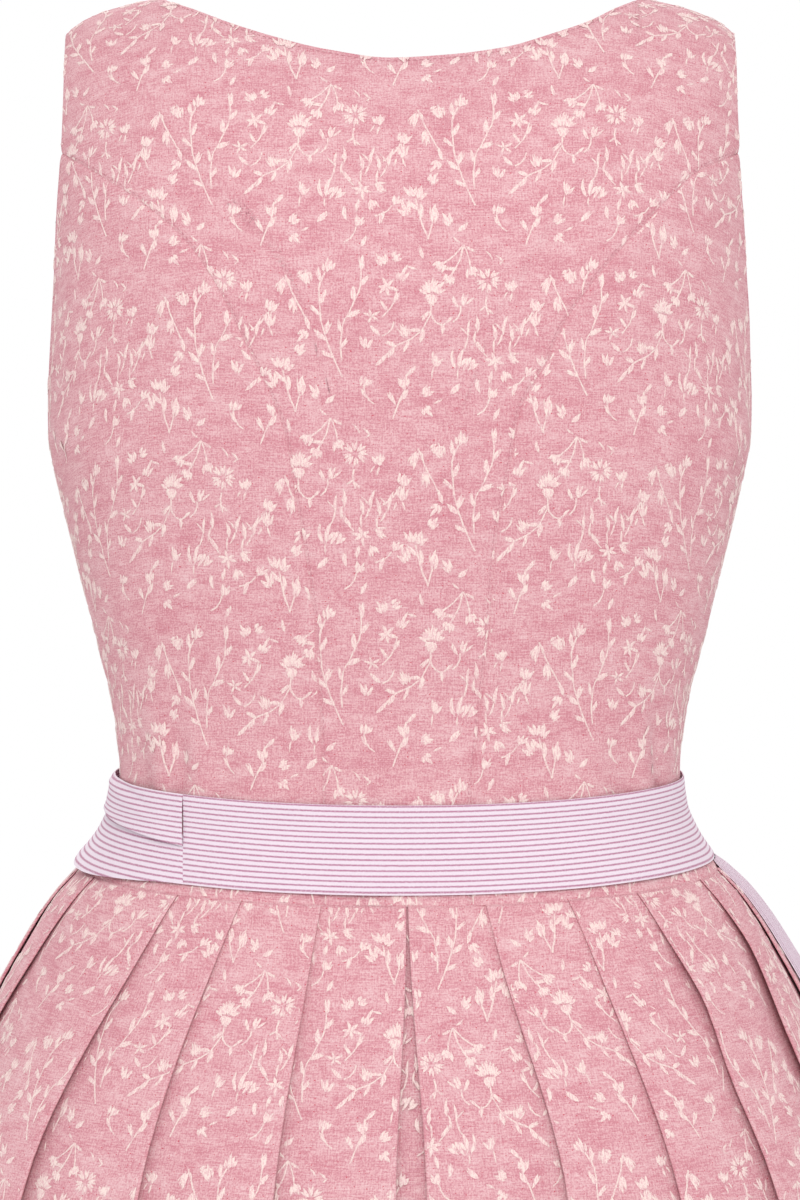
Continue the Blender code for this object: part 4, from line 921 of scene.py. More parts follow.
def relief(flat, side, sewn, free):
    """How far the cloth stands out of the form at flat places: creases, seams that sink in, rolled edges, soft waves."""
    shape = flat.shape[:-1]
    p = flat.reshape(-1, 2)
    out = 0.28 * np.sin(p[:, 0] / 19 + 0.8 * side) * np.sin(p[:, 1] / 31) + 0.18 * np.sin(p[:, 0] / 8.3 + p[:, 1] / 23 + 1.3) * np.sin(p[:, 1] / 14 + 0.6 * side)
    for which, depth, width, line in CREASES:
        if which != side:
            continue
        place = place_on_form(*along(line, np.linspace(0, 1, 24)).T)
        crease = to_flat(place[:, 0], place[:, 1], side)
        span = np.linalg.norm(np.diff(crease, axis=0), axis=1).sum()
        box = (p > crease.min(0) - 3 * width).all(1) & (p < crease.max(0) + 3 * width).all(1)
        if not box.any():
            continue
        d, s = near_line(p[box], crease)
        out[box] += depth * np.exp(-((d / width) ** 2)) * np.clip(s / (0.45 * span), 0, 1) ** 1.2 * (1 if line[-1][1] < -340 else np.clip((span - s) / (0.4 * span), 0, 1))
    for line in sewn:
        d, s = near_line(p, line)
        pucker = 0.5 + 0.5 * np.sin(s / 1.15 + 1.7 * np.sin(s / 9.0))
        out -= 0.72 * np.exp(-((d / 0.85) ** 2)) + 0.24 * pucker * np.exp(-(((d - 1.9) / 1.3) ** 2)) - 0.12 * np.exp(-(((d - 3.6) / 2.2) ** 2))
    for line in free:
        d, s = near_line(p, line)
        pucker = 0.5 + 0.5 * np.sin(s / 1.2 + 1.5 * np.sin(s / 11.0))
        out -= 0.5 * np.exp(-((d / 0.7) ** 2)) + 0.2 * (0.6 + 0.4 * pucker) * np.exp(-(((d - 2.3) / 0.6) ** 2)) - 0.15 * np.exp(-(((d - 1.2) / 0.8) ** 2))
    low = p[:, 1] < -300
    if low.any():
        angle, drop = from_flat(p[low], side)
        above = shell_point(angle, drop, side)[:, 2] - band_top(angle if side > 0 else PI - angle)
        out[low] = np.minimum(out[low], 0.45 + 0.25 * np.clip(above, 0, 12))
    return out.reshape(shape)


def coons(left, right, bottom, top, v, u):
    u, v = u[None, :, None], v[:, None, None]
    grid = (1 - u) * left[:, None] + u * right[:, None] + (1 - v) * bottom[None] + v * top[None]
    return grid - ((1 - u) * (1 - v) * bottom[0] + u * (1 - v) * bottom[-1] + (1 - u) * v * top[0] + u * v * top[-1])


def unfold(grid, v, u, rounds=900):
    """Lets a grid's inner places settle until it folds over nowhere, also where its outline turns inwards."""
    grid = grid * (140.0, 1)
    below, above = np.diff(v)[:-1, None, None], np.diff(v)[1:, None, None]
    before, after = np.diff(u)[None, :-1, None], np.diff(u)[None, 1:, None]
    for _ in range(rounds):
        right, left, over, under = grid[1:-1, 2:], grid[1:-1, :-2], grid[2:, 1:-1], grid[:-2, 1:-1]
        across, up = (right - left) / (before + after), (over - under) / (above + below)
        twist = (grid[2:, 2:] - grid[2:, :-2] - grid[:-2, 2:] + grid[:-2, :-2]) / ((before + after) * (above + below))
        level = 2 * (up * up).sum(-1, keepdims=True) / (before + after)
        upright = 2 * (across * across).sum(-1, keepdims=True) / (above + below)
        beta = (across * up).sum(-1, keepdims=True)
        total = level * (right / after + left / before) + upright * (over / above + under / below) - 2 * beta * twist
        weight = level * (1 / after + 1 / before) + upright * (1 / above + 1 / below)
        grid[1:-1, 1:-1] += 0.55 * (total / weight - grid[1:-1, 1:-1])
    return grid / (140.0, 1)


def edge(points, shares, sign=1.0):
    line = along(points, shares)
    place = place_on_form(line[:, 0], line[:, 1])
    place[:, 0] *= sign
    return place


def side_seam(shares, sign, side):
    z = WAIST_SEAM_SIDE + (-188 - WAIST_SEAM_SIDE) * shares
    place = place_on_form(section(HALF_WIDTH, z), z)
    place[:, 0] = sign * PI / 2
    return place


def ridge(shares, sign):
    x = TIP_X + (NECK_X - TIP_X) * shares
    place = place_on_form(x, shoulder_height(x))
    place[:, 0] *= sign
    place[:, 1] = 0
    return place


def waist_edge(start, end, shares, side):
    angle = start + (end - start) * shares
    z = waist_seam(angle if side > 0 else PI - angle)
    h = shoulder_height(section(HALF_WIDTH, z) * np.sin(angle)) - z
    return np.stack([angle, np.sqrt(h * h + SHOULDER_ROUND * h)], -1)


def lines_of(grid, side):
    """The four edges of a grid of places, as flat lines."""
    flat = to_flat(grid[..., 0], grid[..., 1], side)
    return flat, {"left": flat[:, 0], "right": flat[:, -1], "bottom": flat[0], "top": flat[-1]}


TOTAL = {"cloth": 0.0}
SHEETS = []


def area_of(grid):
    p = grid
    a = np.cross(p[1:, 1:] - p[:-1, :-1], p[1:, :-1] - p[:-1, 1:])
    return 0.5 * np.linalg.norm(a, axis=-1).sum() if p.shape[-1] == 3 else 0.5 * np.abs(a).sum()


def flat_size(flat):
    span = np.ptp(flat.reshape(-1, 2), axis=0) * MM
    return (float(span[0]), float(span[1]))


def inset(line, rim, by):
    """A line moved by a distance into the outline that it runs along."""
    way = np.gradient(line, axis=0)
    way /= np.maximum(np.linalg.norm(way, axis=1, keepdims=True), 1e-9)
    side = np.stack([-way[:, 1], way[:, 0]], -1)
    k = len(line) // 2
    if not inside(line[k : k + 1] + side[k : k + 1], rim)[0]:
        side = -side
    moved = line + by * side
    return moved[(near_line(moved, rim, closed=True)[0] > 0.97 * by) & inside(moved, rim)]


def bodice_panel(name, grid, side, sewn_parts, free_parts, turn, place, stitched=(), stand=0.0):
    """A panel's shell, the sprigs on it and the stitches beside its edges; stitched has (edge, distance from it)."""
    angle, drop = grid[..., 0], np.maximum(grid[..., 1], 0)
    flat = to_flat(angle, drop, side)
    pick = lambda parts: [flat[part] for part in parts]
    sewn, free = pick(sewn_parts), pick(free_parts)
    points, normals = shell_point(angle, drop, side), shell_normal(angle, drop, side)
    out = relief(flat, side, sewn, free) + stand
    outer = points + normals * out[..., None]
    thick = np.full(out.shape, CLOTH)
    for line in free:
        d, _ = near_line(flat.reshape(-1, 2), line)
        thick += 0.5 * np.exp(-((d / 8.0) ** 6)).reshape(out.shape)
    obj = shell(name, outer, outer - normals * thick[..., None], flat, GROUND)
    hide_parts(name)

    rim = np.concatenate([flat[0], flat[1:, -1], flat[-1, :-1][::-1], flat[1:-1, 0][::-1]])
    xy, heights, faces = woven((rim.min(0), rim.max(0)), turn, place, CHART if side > 0 else PLAIN_CHART)
    used = np.unique(faces)
    margin = np.full(len(xy), -1.0)
    d, _ = near_line(xy[used], rim, closed=True)
    margin[used] = np.where(inside(xy[used], rim), d, -d) - 0.5
    xy, heights, faces = clip(xy, heights, faces, margin)
    a, dr = from_flat(xy, side)
    base, n = shell_point(a, dr, side), shell_normal(a, dr, side)
    lift = relief(xy, side, sewn, free) + heights + stand + 0.05
    p = base + n * lift[:, None]
    tri = p[faces]
    face_normal = np.cross(tri[:, 1] - tri[:, 0], tri[:, 2] - tri[:, 0])
    if (face_normal * n[faces[:, 0]]).sum() < 0:
        faces = faces[:, ::-1]
    sprigs = make(name + "_sprigs", p, [faces], xy, SPRIG, 80)
    for part, by in stitched:
        line = inset(flat[part], rim, by)
        a, dr = from_flat(line, side)
        n = shell_normal(a, dr, side)
        stitch_row("bodice_stitches", shell_point(a, dr, side) + n * (relief(line, side, sewn, free) + stand + 0.08)[:, None], n)
    size = flat_size(flat)
    SHEETS.append((name, size, area_of(outer) * 1e-6))
    return obj


GRID, FRONT_GRID = 3.0, 4.4


def bodice():
    seam_rows = {}
    for sign, princess in ((1, BACK_PRINCESS_LEFT), (-1, BACK_PRINCESS_RIGHT)):
        rows = spaced(400, GRID, True, False)
        seam = edge(princess, rows, sign)
        seam[0] = waist_edge(seam[0, 0], seam[0, 0], np.zeros(1), 1)[0]
        columns = spaced(92, GRID)
        shares = side_seam(rows, sign, 1)
        low = edge(BACK_ARMHOLE_LOW, columns, sign)
        low[0], low[-1] = shares[-1], seam[-1]
        shares[0] = waist_edge(sign * PI / 2, sign * PI / 2, np.zeros(1), 1)[0]
        bottom = waist_edge(shares[0, 0], seam[0, 0], columns, 1)
        tail = spaced(390, GRID)
        seam = edge(princess, tail, sign)
        seam[0] = bottom[-1]
        flank = side_seam(tail, sign, 1)
        flank[0] = bottom[0]
        low[0], low[-1] = flank[-1], seam[-1]
        grid = coons(flank, seam, bottom, low, tail, columns)
        name = "back_side_left" if sign > 0 else "back_side_right"
        bodice_panel(name, grid, 1, [np.s_[:, 0], np.s_[:, -1], np.s_[0, :]], [np.s_[-1, :]], 2.0 * sign, (31 + 17 * sign, -12.0), [(np.s_[-1, :], 2.3)])
        arm = spaced(54, GRID, False, True)
        armhole = edge(BACK_ARMHOLE, arm, sign)
        armhole[-1] = ridge(np.zeros(1), sign)[0]
        rows = spaced(400, GRID, True, False)
        seam = edge(princess, rows, sign)
        seam[0] = bottom[-1]
        seam_rows[sign] = (np.concatenate([seam, armhole[1:]]), np.concatenate([rows * 0.86, 0.86 + 0.14 * arm[1:]]), len(rows))
    left, v, split = seam_rows[1]
    right = seam_rows[-1][0]
    r, n = spaced(46, GRID, True, False), np.linspace(0, 1, 74)
    neck = along(BACK_NECK, n)
    neck = place_on_form(neck[:, 0], neck[:, 1])
    top = np.concatenate([ridge(r, 1), neck[1:-1], ridge(r, -1)[::-1]])
    u = np.concatenate([r * 0.16, 0.16 + 0.68 * n[1:-1], 1 - r[::-1] * 0.16])
    bottom = waist_edge(left[0, 0], right[0, 0], u, 1)
    grid = coons(left, right, bottom, top, v, u)
    k = len(r)
    bodice_panel(
        "back_center", grid, 1,
        [np.s_[:split, 0], np.s_[:split, -1], np.s_[0, :], np.s_[-1, :k], np.s_[-1, -k:]],
        [np.s_[split - 1 :, 0], np.s_[split - 1 :, -1], np.s_[-1, k - 1 : -k + 1]], 0.0, (-1.5, 0.0),
        [(np.s_[:split, 0], 1.7), (np.s_[:split, -1], 1.7), (np.s_[split - 1 :, 0], 2.3), (np.s_[split - 1 :, -1], 2.3), (np.s_[-1, k - 1 : -k + 1], 2.3)],
    )
    for sign in (1, -1):
        tag = "left" if sign > 0 else "right"
        tail, columns = spaced(330, FRONT_GRID), spaced(78, FRONT_GRID)
        seam, flank = edge(FRONT_PRINCESS, tail, sign), side_seam(tail, sign, -1)
        low = edge(FRONT_ARMHOLE_LOW, columns, sign)
        bottom = waist_edge(sign * PI / 2, seam[0, 0], columns, -1)
        seam[0], flank[0] = bottom[-1], bottom[0]
        low[0], low[-1] = flank[-1], seam[-1]
        grid = coons(flank, seam, bottom, low, tail, columns)
        bodice_panel("front_side_" + tag, grid, -1, [np.s_[:, 0], np.s_[:, -1], np.s_[0, :]], [np.s_[-1, :]], -2.0 * sign, (12 - 23 * sign, 9.0), [(np.s_[-1, :], 2.3)])
        rows, arm = spaced(320, FRONT_GRID, True, False), spaced(112, FRONT_GRID, False, True)
        seam = edge(FRONT_PRINCESS, rows, sign)
        seam[0] = bottom[-1]
        armhole = edge(FRONT_ARMHOLE, arm, sign)
        armhole[-1] = ridge(np.zeros(1), sign)[0]
        outer = np.concatenate([seam, armhole[1:]])
        v = np.concatenate([rows * 0.76, 0.76 + 0.24 * arm[1:]])
        r, n = spaced(46, FRONT_GRID, True, False), spaced(215, FRONT_GRID, False, True)
        neck = edge(FRONT_NECK, n, sign)[::-1]
        shoulder = ridge(r, sign)
        neck[0] = shoulder[-1]
        top = np.concatenate([shoulder, neck[1:]])
        u = np.concatenate([r * 0.2, 0.2 + 0.8 * (1 - n[::-1])[1:]])
        z = WAIST_SEAM_FRONT + (FRONT_NECK[0][1] - WAIST_SEAM_FRONT) * v
        centre = place_on_form(0 * z, z)
        centre[:, 0] = sign * 1e-5
        bottom = waist_edge(outer[0, 0], centre[0, 0], u, -1)
        centre[0], top[-1] = bottom[-1], centre[-1]
        grid = unfold(coons(outer, centre, bottom, top, v, u), v, u)
        k = len(rows)
        bodice_panel(
            "front_" + tag, grid, -1,
            [np.s_[:k, 0], np.s_[0, :], np.s_[-1, : len(r)]],
            [np.s_[k - 1 :, 0], np.s_[-1, len(r) - 1 :]], 0.0, (23 + 8 * sign, -31.0),
            [(np.s_[:k, 0], 1.7), (np.s_[k - 1 :, 0], 2.3), (np.s_[-1, len(r) - 1 :], 2.3)],
        )
    tail, columns = spaced(222, GRID), spaced(2 * PLACKET_HALF_WIDTH, 1.6)
    z = WAIST_SEAM_FRONT + 0.3 + (FRONT_NECK[0][1] - 0.3 - WAIST_SEAM_FRONT - 0.3) * tail
    x = -PLACKET_HALF_WIDTH + 2 * PLACKET_HALF_WIDTH * columns
    grid = place_on_form(*np.meshgrid(x, z))
    bodice_panel(
        "front_placket", grid, -1, [np.s_[0, :]], [np.s_[:, 0], np.s_[:, -1], np.s_[-1, :]], 0.0, (40.0, -52.0),
        [(np.s_[:, 0], 2.3), (np.s_[:, -1], 2.3), (np.s_[-1, :], 2.3)], PLACKET_STAND + 1.0,
    )


# ---------------------------------------------------------------- skirt


def skirt_ring(depth, samples=1441):
    angle = np.linspace(0, PI, samples)
    share = depth / (WAIST_SEAM_BACK - SKIRT_HEM_Z)
    top = waist_seam(angle)
    z = top + (SKIRT_HEM_Z - WAIST_SEAM_BACK) * share + (WAIST_SEAM_BACK - top) * np.clip(share, 0, 1)
    points = ring_point(angle, z)
    way = np.gradient(points, axis=0)
    normal = np.stack([-way[:, 1], way[:, 0], 0 * way[:, 0]], -1)
    normal /= np.linalg.norm(normal, axis=1, keepdims=True)
    if normal[0, 1] < 0:
        normal = -normal
    length = np.concatenate([[0], np.cumsum(np.linalg.norm(np.diff(points, axis=0), axis=1))])
    return points, normal, length


def on_ring(ring, s, out):
    points, normal, length = ring
    s, out = np.asarray(s, float), np.asarray(out, float)
    end = length[-1]
    across = np.where(s < 0, -1.0, 1.0) * np.where(np.abs(s) > end, -1, 1)
    where = np.where(np.abs(s) > end, 2 * end - np.abs(s), np.abs(s))
    p = np.stack([np.interp(where, length, points[:, k]) for k in range(3)], -1)
    n = np.stack([np.interp(where, length, normal[:, k]) for k in range(3)], -1)
    p[..., 0] *= across
    n[..., 0] *= across
    return p + n * out[..., None]


SKIRT_DEPTHS = np.array([0, 1.2, 2.6, 4.5, 7, 10, 14, 18.5, 23.5, 29, 35, 42, 49, 57, 65, 74, 83, 92, 102, 112, 122, 133, 144, 155, 167, 180, 194, 209, 225, 242, 260, 280, 301, 323, 346, 370, 395, 421, 448, 476, 505, 535, 566, 598, 626, 630, 634, 652, 655], float)
FACE_T = np.array([0.0, 0.025, 0.06, 0.11, 0.18, 0.26, 0.35, 0.44, 0.53, 0.62, 0.71, 0.79, 0.86, 0.92, 0.965, 1.0])
FOLD_N, TURN_N = 7, 5


def fold_places(table, depth, half):
    share = np.clip(depth / 120.0, 0, 1)
    share = share * share * (3 - 2 * share)
    table = np.asarray(table)
    return (table[:, 0] * (1 - share) + table[:, 1] * share) * half


def fold_sway(which, k, depth):
    """How a fold edge wanders from its straight line: side, number, and rows of (depth, offset)."""
    rng = np.random.default_rng(100 * k + (1 if which > 0 else 7))
    a, b, c = rng.uniform(-1, 1, 3)
    grow = np.clip(depth / 60.0, 0, 1) * np.clip(1.4 - depth / 700, 0.4, 1)
    sway = (0.9 * a * np.sin(depth / 37 + 6 * b) + 1.6 * b * np.sin(depth / 90 + 5 * c)) * grow
    if which < 0 and k == 3:
        sway += 3.2 * np.exp(-(((depth - 44) / 20) ** 2)) - 2.2 * np.exp(-(((depth - 84) / 24) ** 2))
    if which < 0 and k == 4:
        sway += 2.6 * np.exp(-(((depth - 30) / 14) ** 2)) - 2.4 * np.exp(-(((depth - 66) / 20) ** 2))
    return sway


def fold_strength(which, k, depth):
    """How high a fold's step is beside the others."""
    rng = np.random.default_rng(500 + 10 * k + (1 if which > 0 else 4))
    high = 1 + 0.16 * rng.uniform(-1, 1)
    if which < 0 and k == 3:
        high += 0.35 + 0.9 * np.exp(-(((depth - 38) / 20) ** 2))
    if which < 0 and k == 4:
        high += 0.7 + 0.5 * np.exp(-(((depth - 45) / 30) ** 2))
    if which > 0 and k in (3, 4):
        high += 0.25
    return 1 + (high - 1) * np.clip(depth / 16.0, 0, 1)


def face_out(t, step, which, k, depth):
    """The profile of a pleat's face from its fold edge (t = 0) to the next fold (t = 1)."""
    rng = np.random.default_rng(31 * k + (3 if which > 0 else 5))
    a, b, c, d = rng.uniform(-1, 1, 4)
    drop = 0.72 * t + 0.28 * t**2.6
    soft = np.clip(depth / 90.0, 0, 1)
    wave = (0.45 * a * np.sin(PI * t * 2 + 3 * b) + 0.35 * c * np.sin(PI * t * 3 + depth / 70 + 4 * d)) * soft * (0.5 + step / 12)
    tuck = 0.35 * np.exp(-depth / 14.0) * np.sin(t * (9 + 3 * a) * PI + 5 * b) ** 2
    bulge = 0.5 * soft * np.sin(PI * np.clip(t, 0, 1)) * (1 + 0.5 * d)
    return -step * drop + (wave + bulge) * np.sin(PI * np.clip(t, 0, 1)) ** 0.5 - tuck


def half_line(which, table, depth, half):
    """The cloth's middle line through one half of the skirt at a depth: length round, stand-off, length along the cloth,
    and for each pleat where its face starts in the line."""
    step, under, open_by = (float(smooth(PLEAT_ROWS[:, 0], PLEAT_ROWS[:, k], depth)) for k in (1, 2, 3))
    lay = SKIRT_CLOTH + open_by
    folds = fold_places(table, depth, half) + np.array([fold_sway(which, k, depth) if 0 < k < 10 else 0 for k in range(11)])
    line, marks, seam = [], [], None
    steps = [step * fold_strength(which, k, depth) for k in range(len(folds))] + [step]
    for k, fold in enumerate(folds):
        after = folds[k + 1] if k + 1 < len(folds) else half
        gap = after - fold
        deep = min(under, 0.7 * gap)
        high = steps[k]
        lay_k = min(lay, 0.42 * high)
        if k > 0:
            line += [(fold + deep * q, -high) for q in (0.03, 0.4, 0.75)]
        turn = np.linspace(-PI / 2, PI / 2, TURN_N)
        line += [(fold + deep - lay_k / 2 + lay_k / 2 * np.cos(q), -high + lay_k / 2 + lay_k / 2 * np.sin(q)) for q in turn]
        if k == SIDE_PLEAT:
            seam = len(line)
        r = lay_k / 2
        line += [(fold + r + (deep - r - lay_k / 2) * q, (-high + lay_k) * q - lay_k * (1 - q)) for q in (0.7, 0.35)]
        curl = np.linspace(-PI / 2, -3 * PI / 2, FOLD_N)
        line += [(fold + r + r * np.cos(q), -r + r * np.sin(q)) for q in curl]
        marks.append(len(line) - 1)
        for t in FACE_T[1:]:
            line.append((fold + r + (gap - r) * t, float(face_out(t, steps[k + 1], which, k, depth))))
    line[-1] = (half - 0.15, line[-1][1])
    line = np.array(line)
    return line, marks, seam, folds


def offset_line(line, by):
    way = np.diff(line, axis=0)
    way /= np.maximum(np.linalg.norm(way, axis=1, keepdims=True), 1e-9)
    side = np.stack([-way[:, 1], way[:, 0]], -1)
    first, last = np.vstack([side[:1], side]), np.vstack([side, side[-1:]])
    middle = first + last
    scale = 1 / np.maximum(0.5 * (middle * middle).sum(1, keepdims=True), 0.4)
    return line + by * middle * scale


def skirt():
    """The pleated widths and the sprigs on the faces that show."""
    pieces = {"skirt_back": [], "skirt_front_left": [], "skirt_front_right": []}
    faces_of = {}
    for row, depth in enumerate(SKIRT_DEPTHS):
        ring = skirt_ring(depth + (0.25 if row == 0 else 0))
        half = ring[2][-1]
        halves = {}
        for which, table in ((1, PLEATS_LEFT), (-1, PLEATS_RIGHT)):
            line, marks, seam, folds = half_line(which, table, depth, half)
            length = np.concatenate([[0], np.cumsum(np.linalg.norm(np.diff(line, axis=0), axis=1))])
            halves[which] = (line, length, seam, marks)
            top = offset_line(line, SKIRT_CLOTH / 2)
            for k, mark in enumerate(marks):
                part = slice(mark, mark + len(FACE_T))
                p = on_ring(ring, top[part, 0] * which, top[part, 1])
                faces_of.setdefault((which, k), []).append((p, line[part, 0] - line[mark, 0], depth))
        left, cut_left = halves[1][0], halves[1][2]
        right, cut_right = halves[-1][0], halves[-1][2]
        joined = np.concatenate([(right[:cut_right] * (-1, 1))[::-1], left[:cut_left]])
        apart = (left[0, 0] + right[0, 0]) / 2
        lengths = np.concatenate([-halves[-1][1][:cut_right][::-1] - apart, halves[1][1][:cut_left] + apart])
        for name, line, mirror, length in (
            ("skirt_back", joined, 1, lengths),
            ("skirt_front_left", left[cut_left:], 1, halves[1][1][cut_left:]),
            ("skirt_front_right", right[cut_right:], -1, -halves[-1][1][cut_right:]),
        ):
            outer, inner = offset_line(line, SKIRT_CLOTH / 2), offset_line(line, -SKIRT_CLOTH / 2)
            pieces[name].append([on_ring(ring, side[:, 0] * mirror, side[:, 1]) for side in (outer, inner)] + [np.stack([length, np.full(len(length), -depth)], -1)])
        strip_t = np.linspace(0, 1, 9)
        a, b = right[0] * (-1, 1), left[0]
        middle = a + (b - a) * strip_t[:, None]
        faces_of.setdefault((0, 0), []).append((on_ring(ring, middle[:, 0], middle[:, 1] + SKIRT_CLOTH / 2), (strip_t - 0.5) * (b[0] - a[0]), depth))
    sprigs = {"skirt_back_left": [], "skirt_back_right": [], "skirt_front_left": [], "skirt_front_right": []}
    for (which, k), rows in faces_of.items():
        if which == 0 or k <= 4:
            name = "skirt_back_right" if which < 0 else "skirt_back_left"
        else:
            name = "skirt_front_left" if which > 0 else "skirt_front_right"
        hidden = (which > 0 and k >= 7) or (which < 0 and k >= 6)
        grid = np.array([r[0] for r in rows])
        across = np.array([r[1] for r in rows])
        depth = np.array([r[2] for r in rows])
        down = np.concatenate([[0], np.cumsum(np.linalg.norm(np.diff(grid[:, 0], axis=0), axis=1))])
        split, low = (down[np.searchsorted(depth, place)] for place in (167, 598))
        for span in ((PLAIN_CHART, low, down[-1]),) if hidden else ((CHART, 0.0, split), (PLAIN_CHART, split, down[-1])):
            sprigs[name].append(face_sprigs(grid, across, down, which, k, *span))
    out = []
    for name, rows in pieces.items():
        outer, inner, uv = (np.array([r[k] for r in rows]) for k in range(3))
        obj = shell(name, outer, inner, uv, GROUND, 60)
        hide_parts(name)
        for group, parts in sprigs.items():
            parts = [part for part in parts if part is not None]
            if not group.startswith(name) or not parts:
                continue
            points, faces, uvs, count = [], [], [], 0
            for p, f, q in parts:
                points.append(p)
                faces.append(f + count)
                uvs.append(q)
                count += len(p)
            leaves = make(group + "_sprigs", np.concatenate(points), [np.concatenate(faces)], np.concatenate(uvs), SPRIG, 80)
        width = float(np.linalg.norm(np.diff(outer[-1], axis=0), axis=1).sum()) * MM
        area = area_of(outer) * 1e-6
        length = float(np.linalg.norm(np.diff(outer[:, 0], axis=0), axis=1).sum()) * MM
        width = max(width, area / length)
        SHEETS.append((name, (width, length), area))


def face_sprigs(grid, across, down, which, k, chart, start, stop):
    """The weave's sprigs on one pleat's face, from start to stop. grid holds the face's points, row by row; across and
    down their places in the flat cloth."""
    seed = 37 * k + (11 if which > 0 else 0) + (71 if which == 0 else 0)
    rng = np.random.default_rng(seed)
    place = (rng.uniform(0, REPEAT_X), rng.uniform(0, REPEAT_Y) - REPEAT_Y)
    if which < 0:
        place = (-place[0], place[1])
    wide = across[:, -1].max()
    x_box = (across[:, 0].min(), wide)
    xy, heights, faces = woven(((x_box[0], -stop), (x_box[1], -start)), 0.0, np.array(place), chart)
    used = np.unique(faces)
    y = -xy[:, 1]
    row = np.interp(y, down, np.arange(len(down)))
    first = np.interp(y, down, across[:, 0])
    last = np.interp(y, down, across[:, -1])
    margin = np.minimum.reduce([xy[:, 0] - first - (0.3 if which else 0.0), last - xy[:, 0] - (0.3 if which else 0.0), y - max(start, 1.0), min(stop, down[-1] - 1.0) - y])
    if not (margin[used] > 0).any():
        return None
    xy, heights, faces = clip(xy, heights, faces, margin)
    y = -xy[:, 1]
    row = np.interp(y, down, np.arange(len(down)))
    i = np.clip(row.astype(int), 0, len(down) - 2)
    a = row - i
    column = np.empty(len(xy))
    for r in range(len(down) - 1):
        pick = i == r
        if pick.any():
            column[pick] = (1 - a[pick]) * np.interp(xy[pick, 0], across[r], np.arange(across.shape[1])) + a[pick] * np.interp(xy[pick, 0], across[r + 1], np.arange(across.shape[1]))
    p = bilinear(grid, row, column)
    e = 0.5
    right = bilinear(grid, row, np.minimum(column + e, across.shape[1] - 1.001)) - bilinear(grid, row, np.maximum(column - e, 0))
    under = bilinear(grid, np.minimum(row + e, len(down) - 1.001), column) - bilinear(grid, np.maximum(row - e, 0), column)
    n = np.cross(right, under)
    n /= np.maximum(np.linalg.norm(n, axis=1, keepdims=True), 1e-9)
    centre = np.stack([p[:, 0], p[:, 1], 0 * p[:, 0]], -1)
    if (n * centre).sum() < 0:
        n = -n
    p = p + n * (heights + 0.06)[:, None]
    tri = p[faces]
    face_normal = np.cross(tri[:, 1] - tri[:, 0], tri[:, 2] - tri[:, 0])
    if (face_normal * n[faces[:, 0]]).sum() < 0:
        faces = faces[:, ::-1]
    return p, faces, xy


# ---------------------------------------------------------------- apron band and ties


def band_place(angle, share):
    low, high = waist_seam(angle) + BAND_ABOVE_SEAM, band_top(angle)
    return low + (high - low) * share


def over_placket(x, height):
    return height * np.exp(-((x / 28) ** 4))


def band_stand(angle):
    return BAND_STAND + over_placket(130 * np.sin(angle), 1.8) * (np.cos(angle) < 0)


def tie_seam_angle(share):
    angle = np.full(np.shape(share), 0.8)
    for _ in range(8):
        angle = np.arcsin(TIE_SEAM_X / section(HALF_WIDTH, band_place(angle, share)))
    return angle


def band():
    rows = spaced(39, 1.6)
    share, across = np.meshgrid(rows, np.linspace(0, 1, 301), indexing="ij")
    start = tie_seam_angle(share) - np.radians(0.06)
    angle = start + (BAND_END - start) * across
    z = band_place(angle, share)
    points, normals = ring_point(angle, z), form_normal(angle, z)
    arc = np.concatenate([np.zeros((len(rows), 1)), np.cumsum(np.linalg.norm(np.diff(points, axis=1), axis=2), axis=1)], 1)
    up = share * 39.2
    edge_roll = 0.45 * (np.exp(-((up / 0.8) ** 2)) + np.exp(-(((39.2 - up) / 0.8) ** 2)))
    seam_roll = 0.3 * np.exp(-((arc / 0.6) ** 2))
    wave = 0.16 * np.sin(arc / 21) * np.sin(up / 9 + arc / 60) + 0.1 * np.sin(arc / 7.7 + up / 5)
    stand = band_stand(angle) + BAND_WALL - 0.1
    outer = points + normals * (stand + wave - edge_roll - seam_roll)[..., None]
    inner = points + normals * (stand - 0.9 + 0.3 * edge_roll)[..., None]
    obj = shell("apron_band", outer, inner, np.stack([arc, up], -1), STRIPES_LONG)
    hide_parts("apron_band")
    length = float(arc[:, -1].mean()) * MM
    SHEETS.append(("apron_band", (length, 0.0395), area_of(outer) * 1e-6))


def declare(name, size, area=None):
    """The piece stands for its solid; its cut, given in millimetres, is listed in SHEETS."""
    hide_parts(name)
    flat = (size[0] * MM, size[1] * MM)
    SHEETS.append((name, flat, area))


APRON_CUT = 950.0


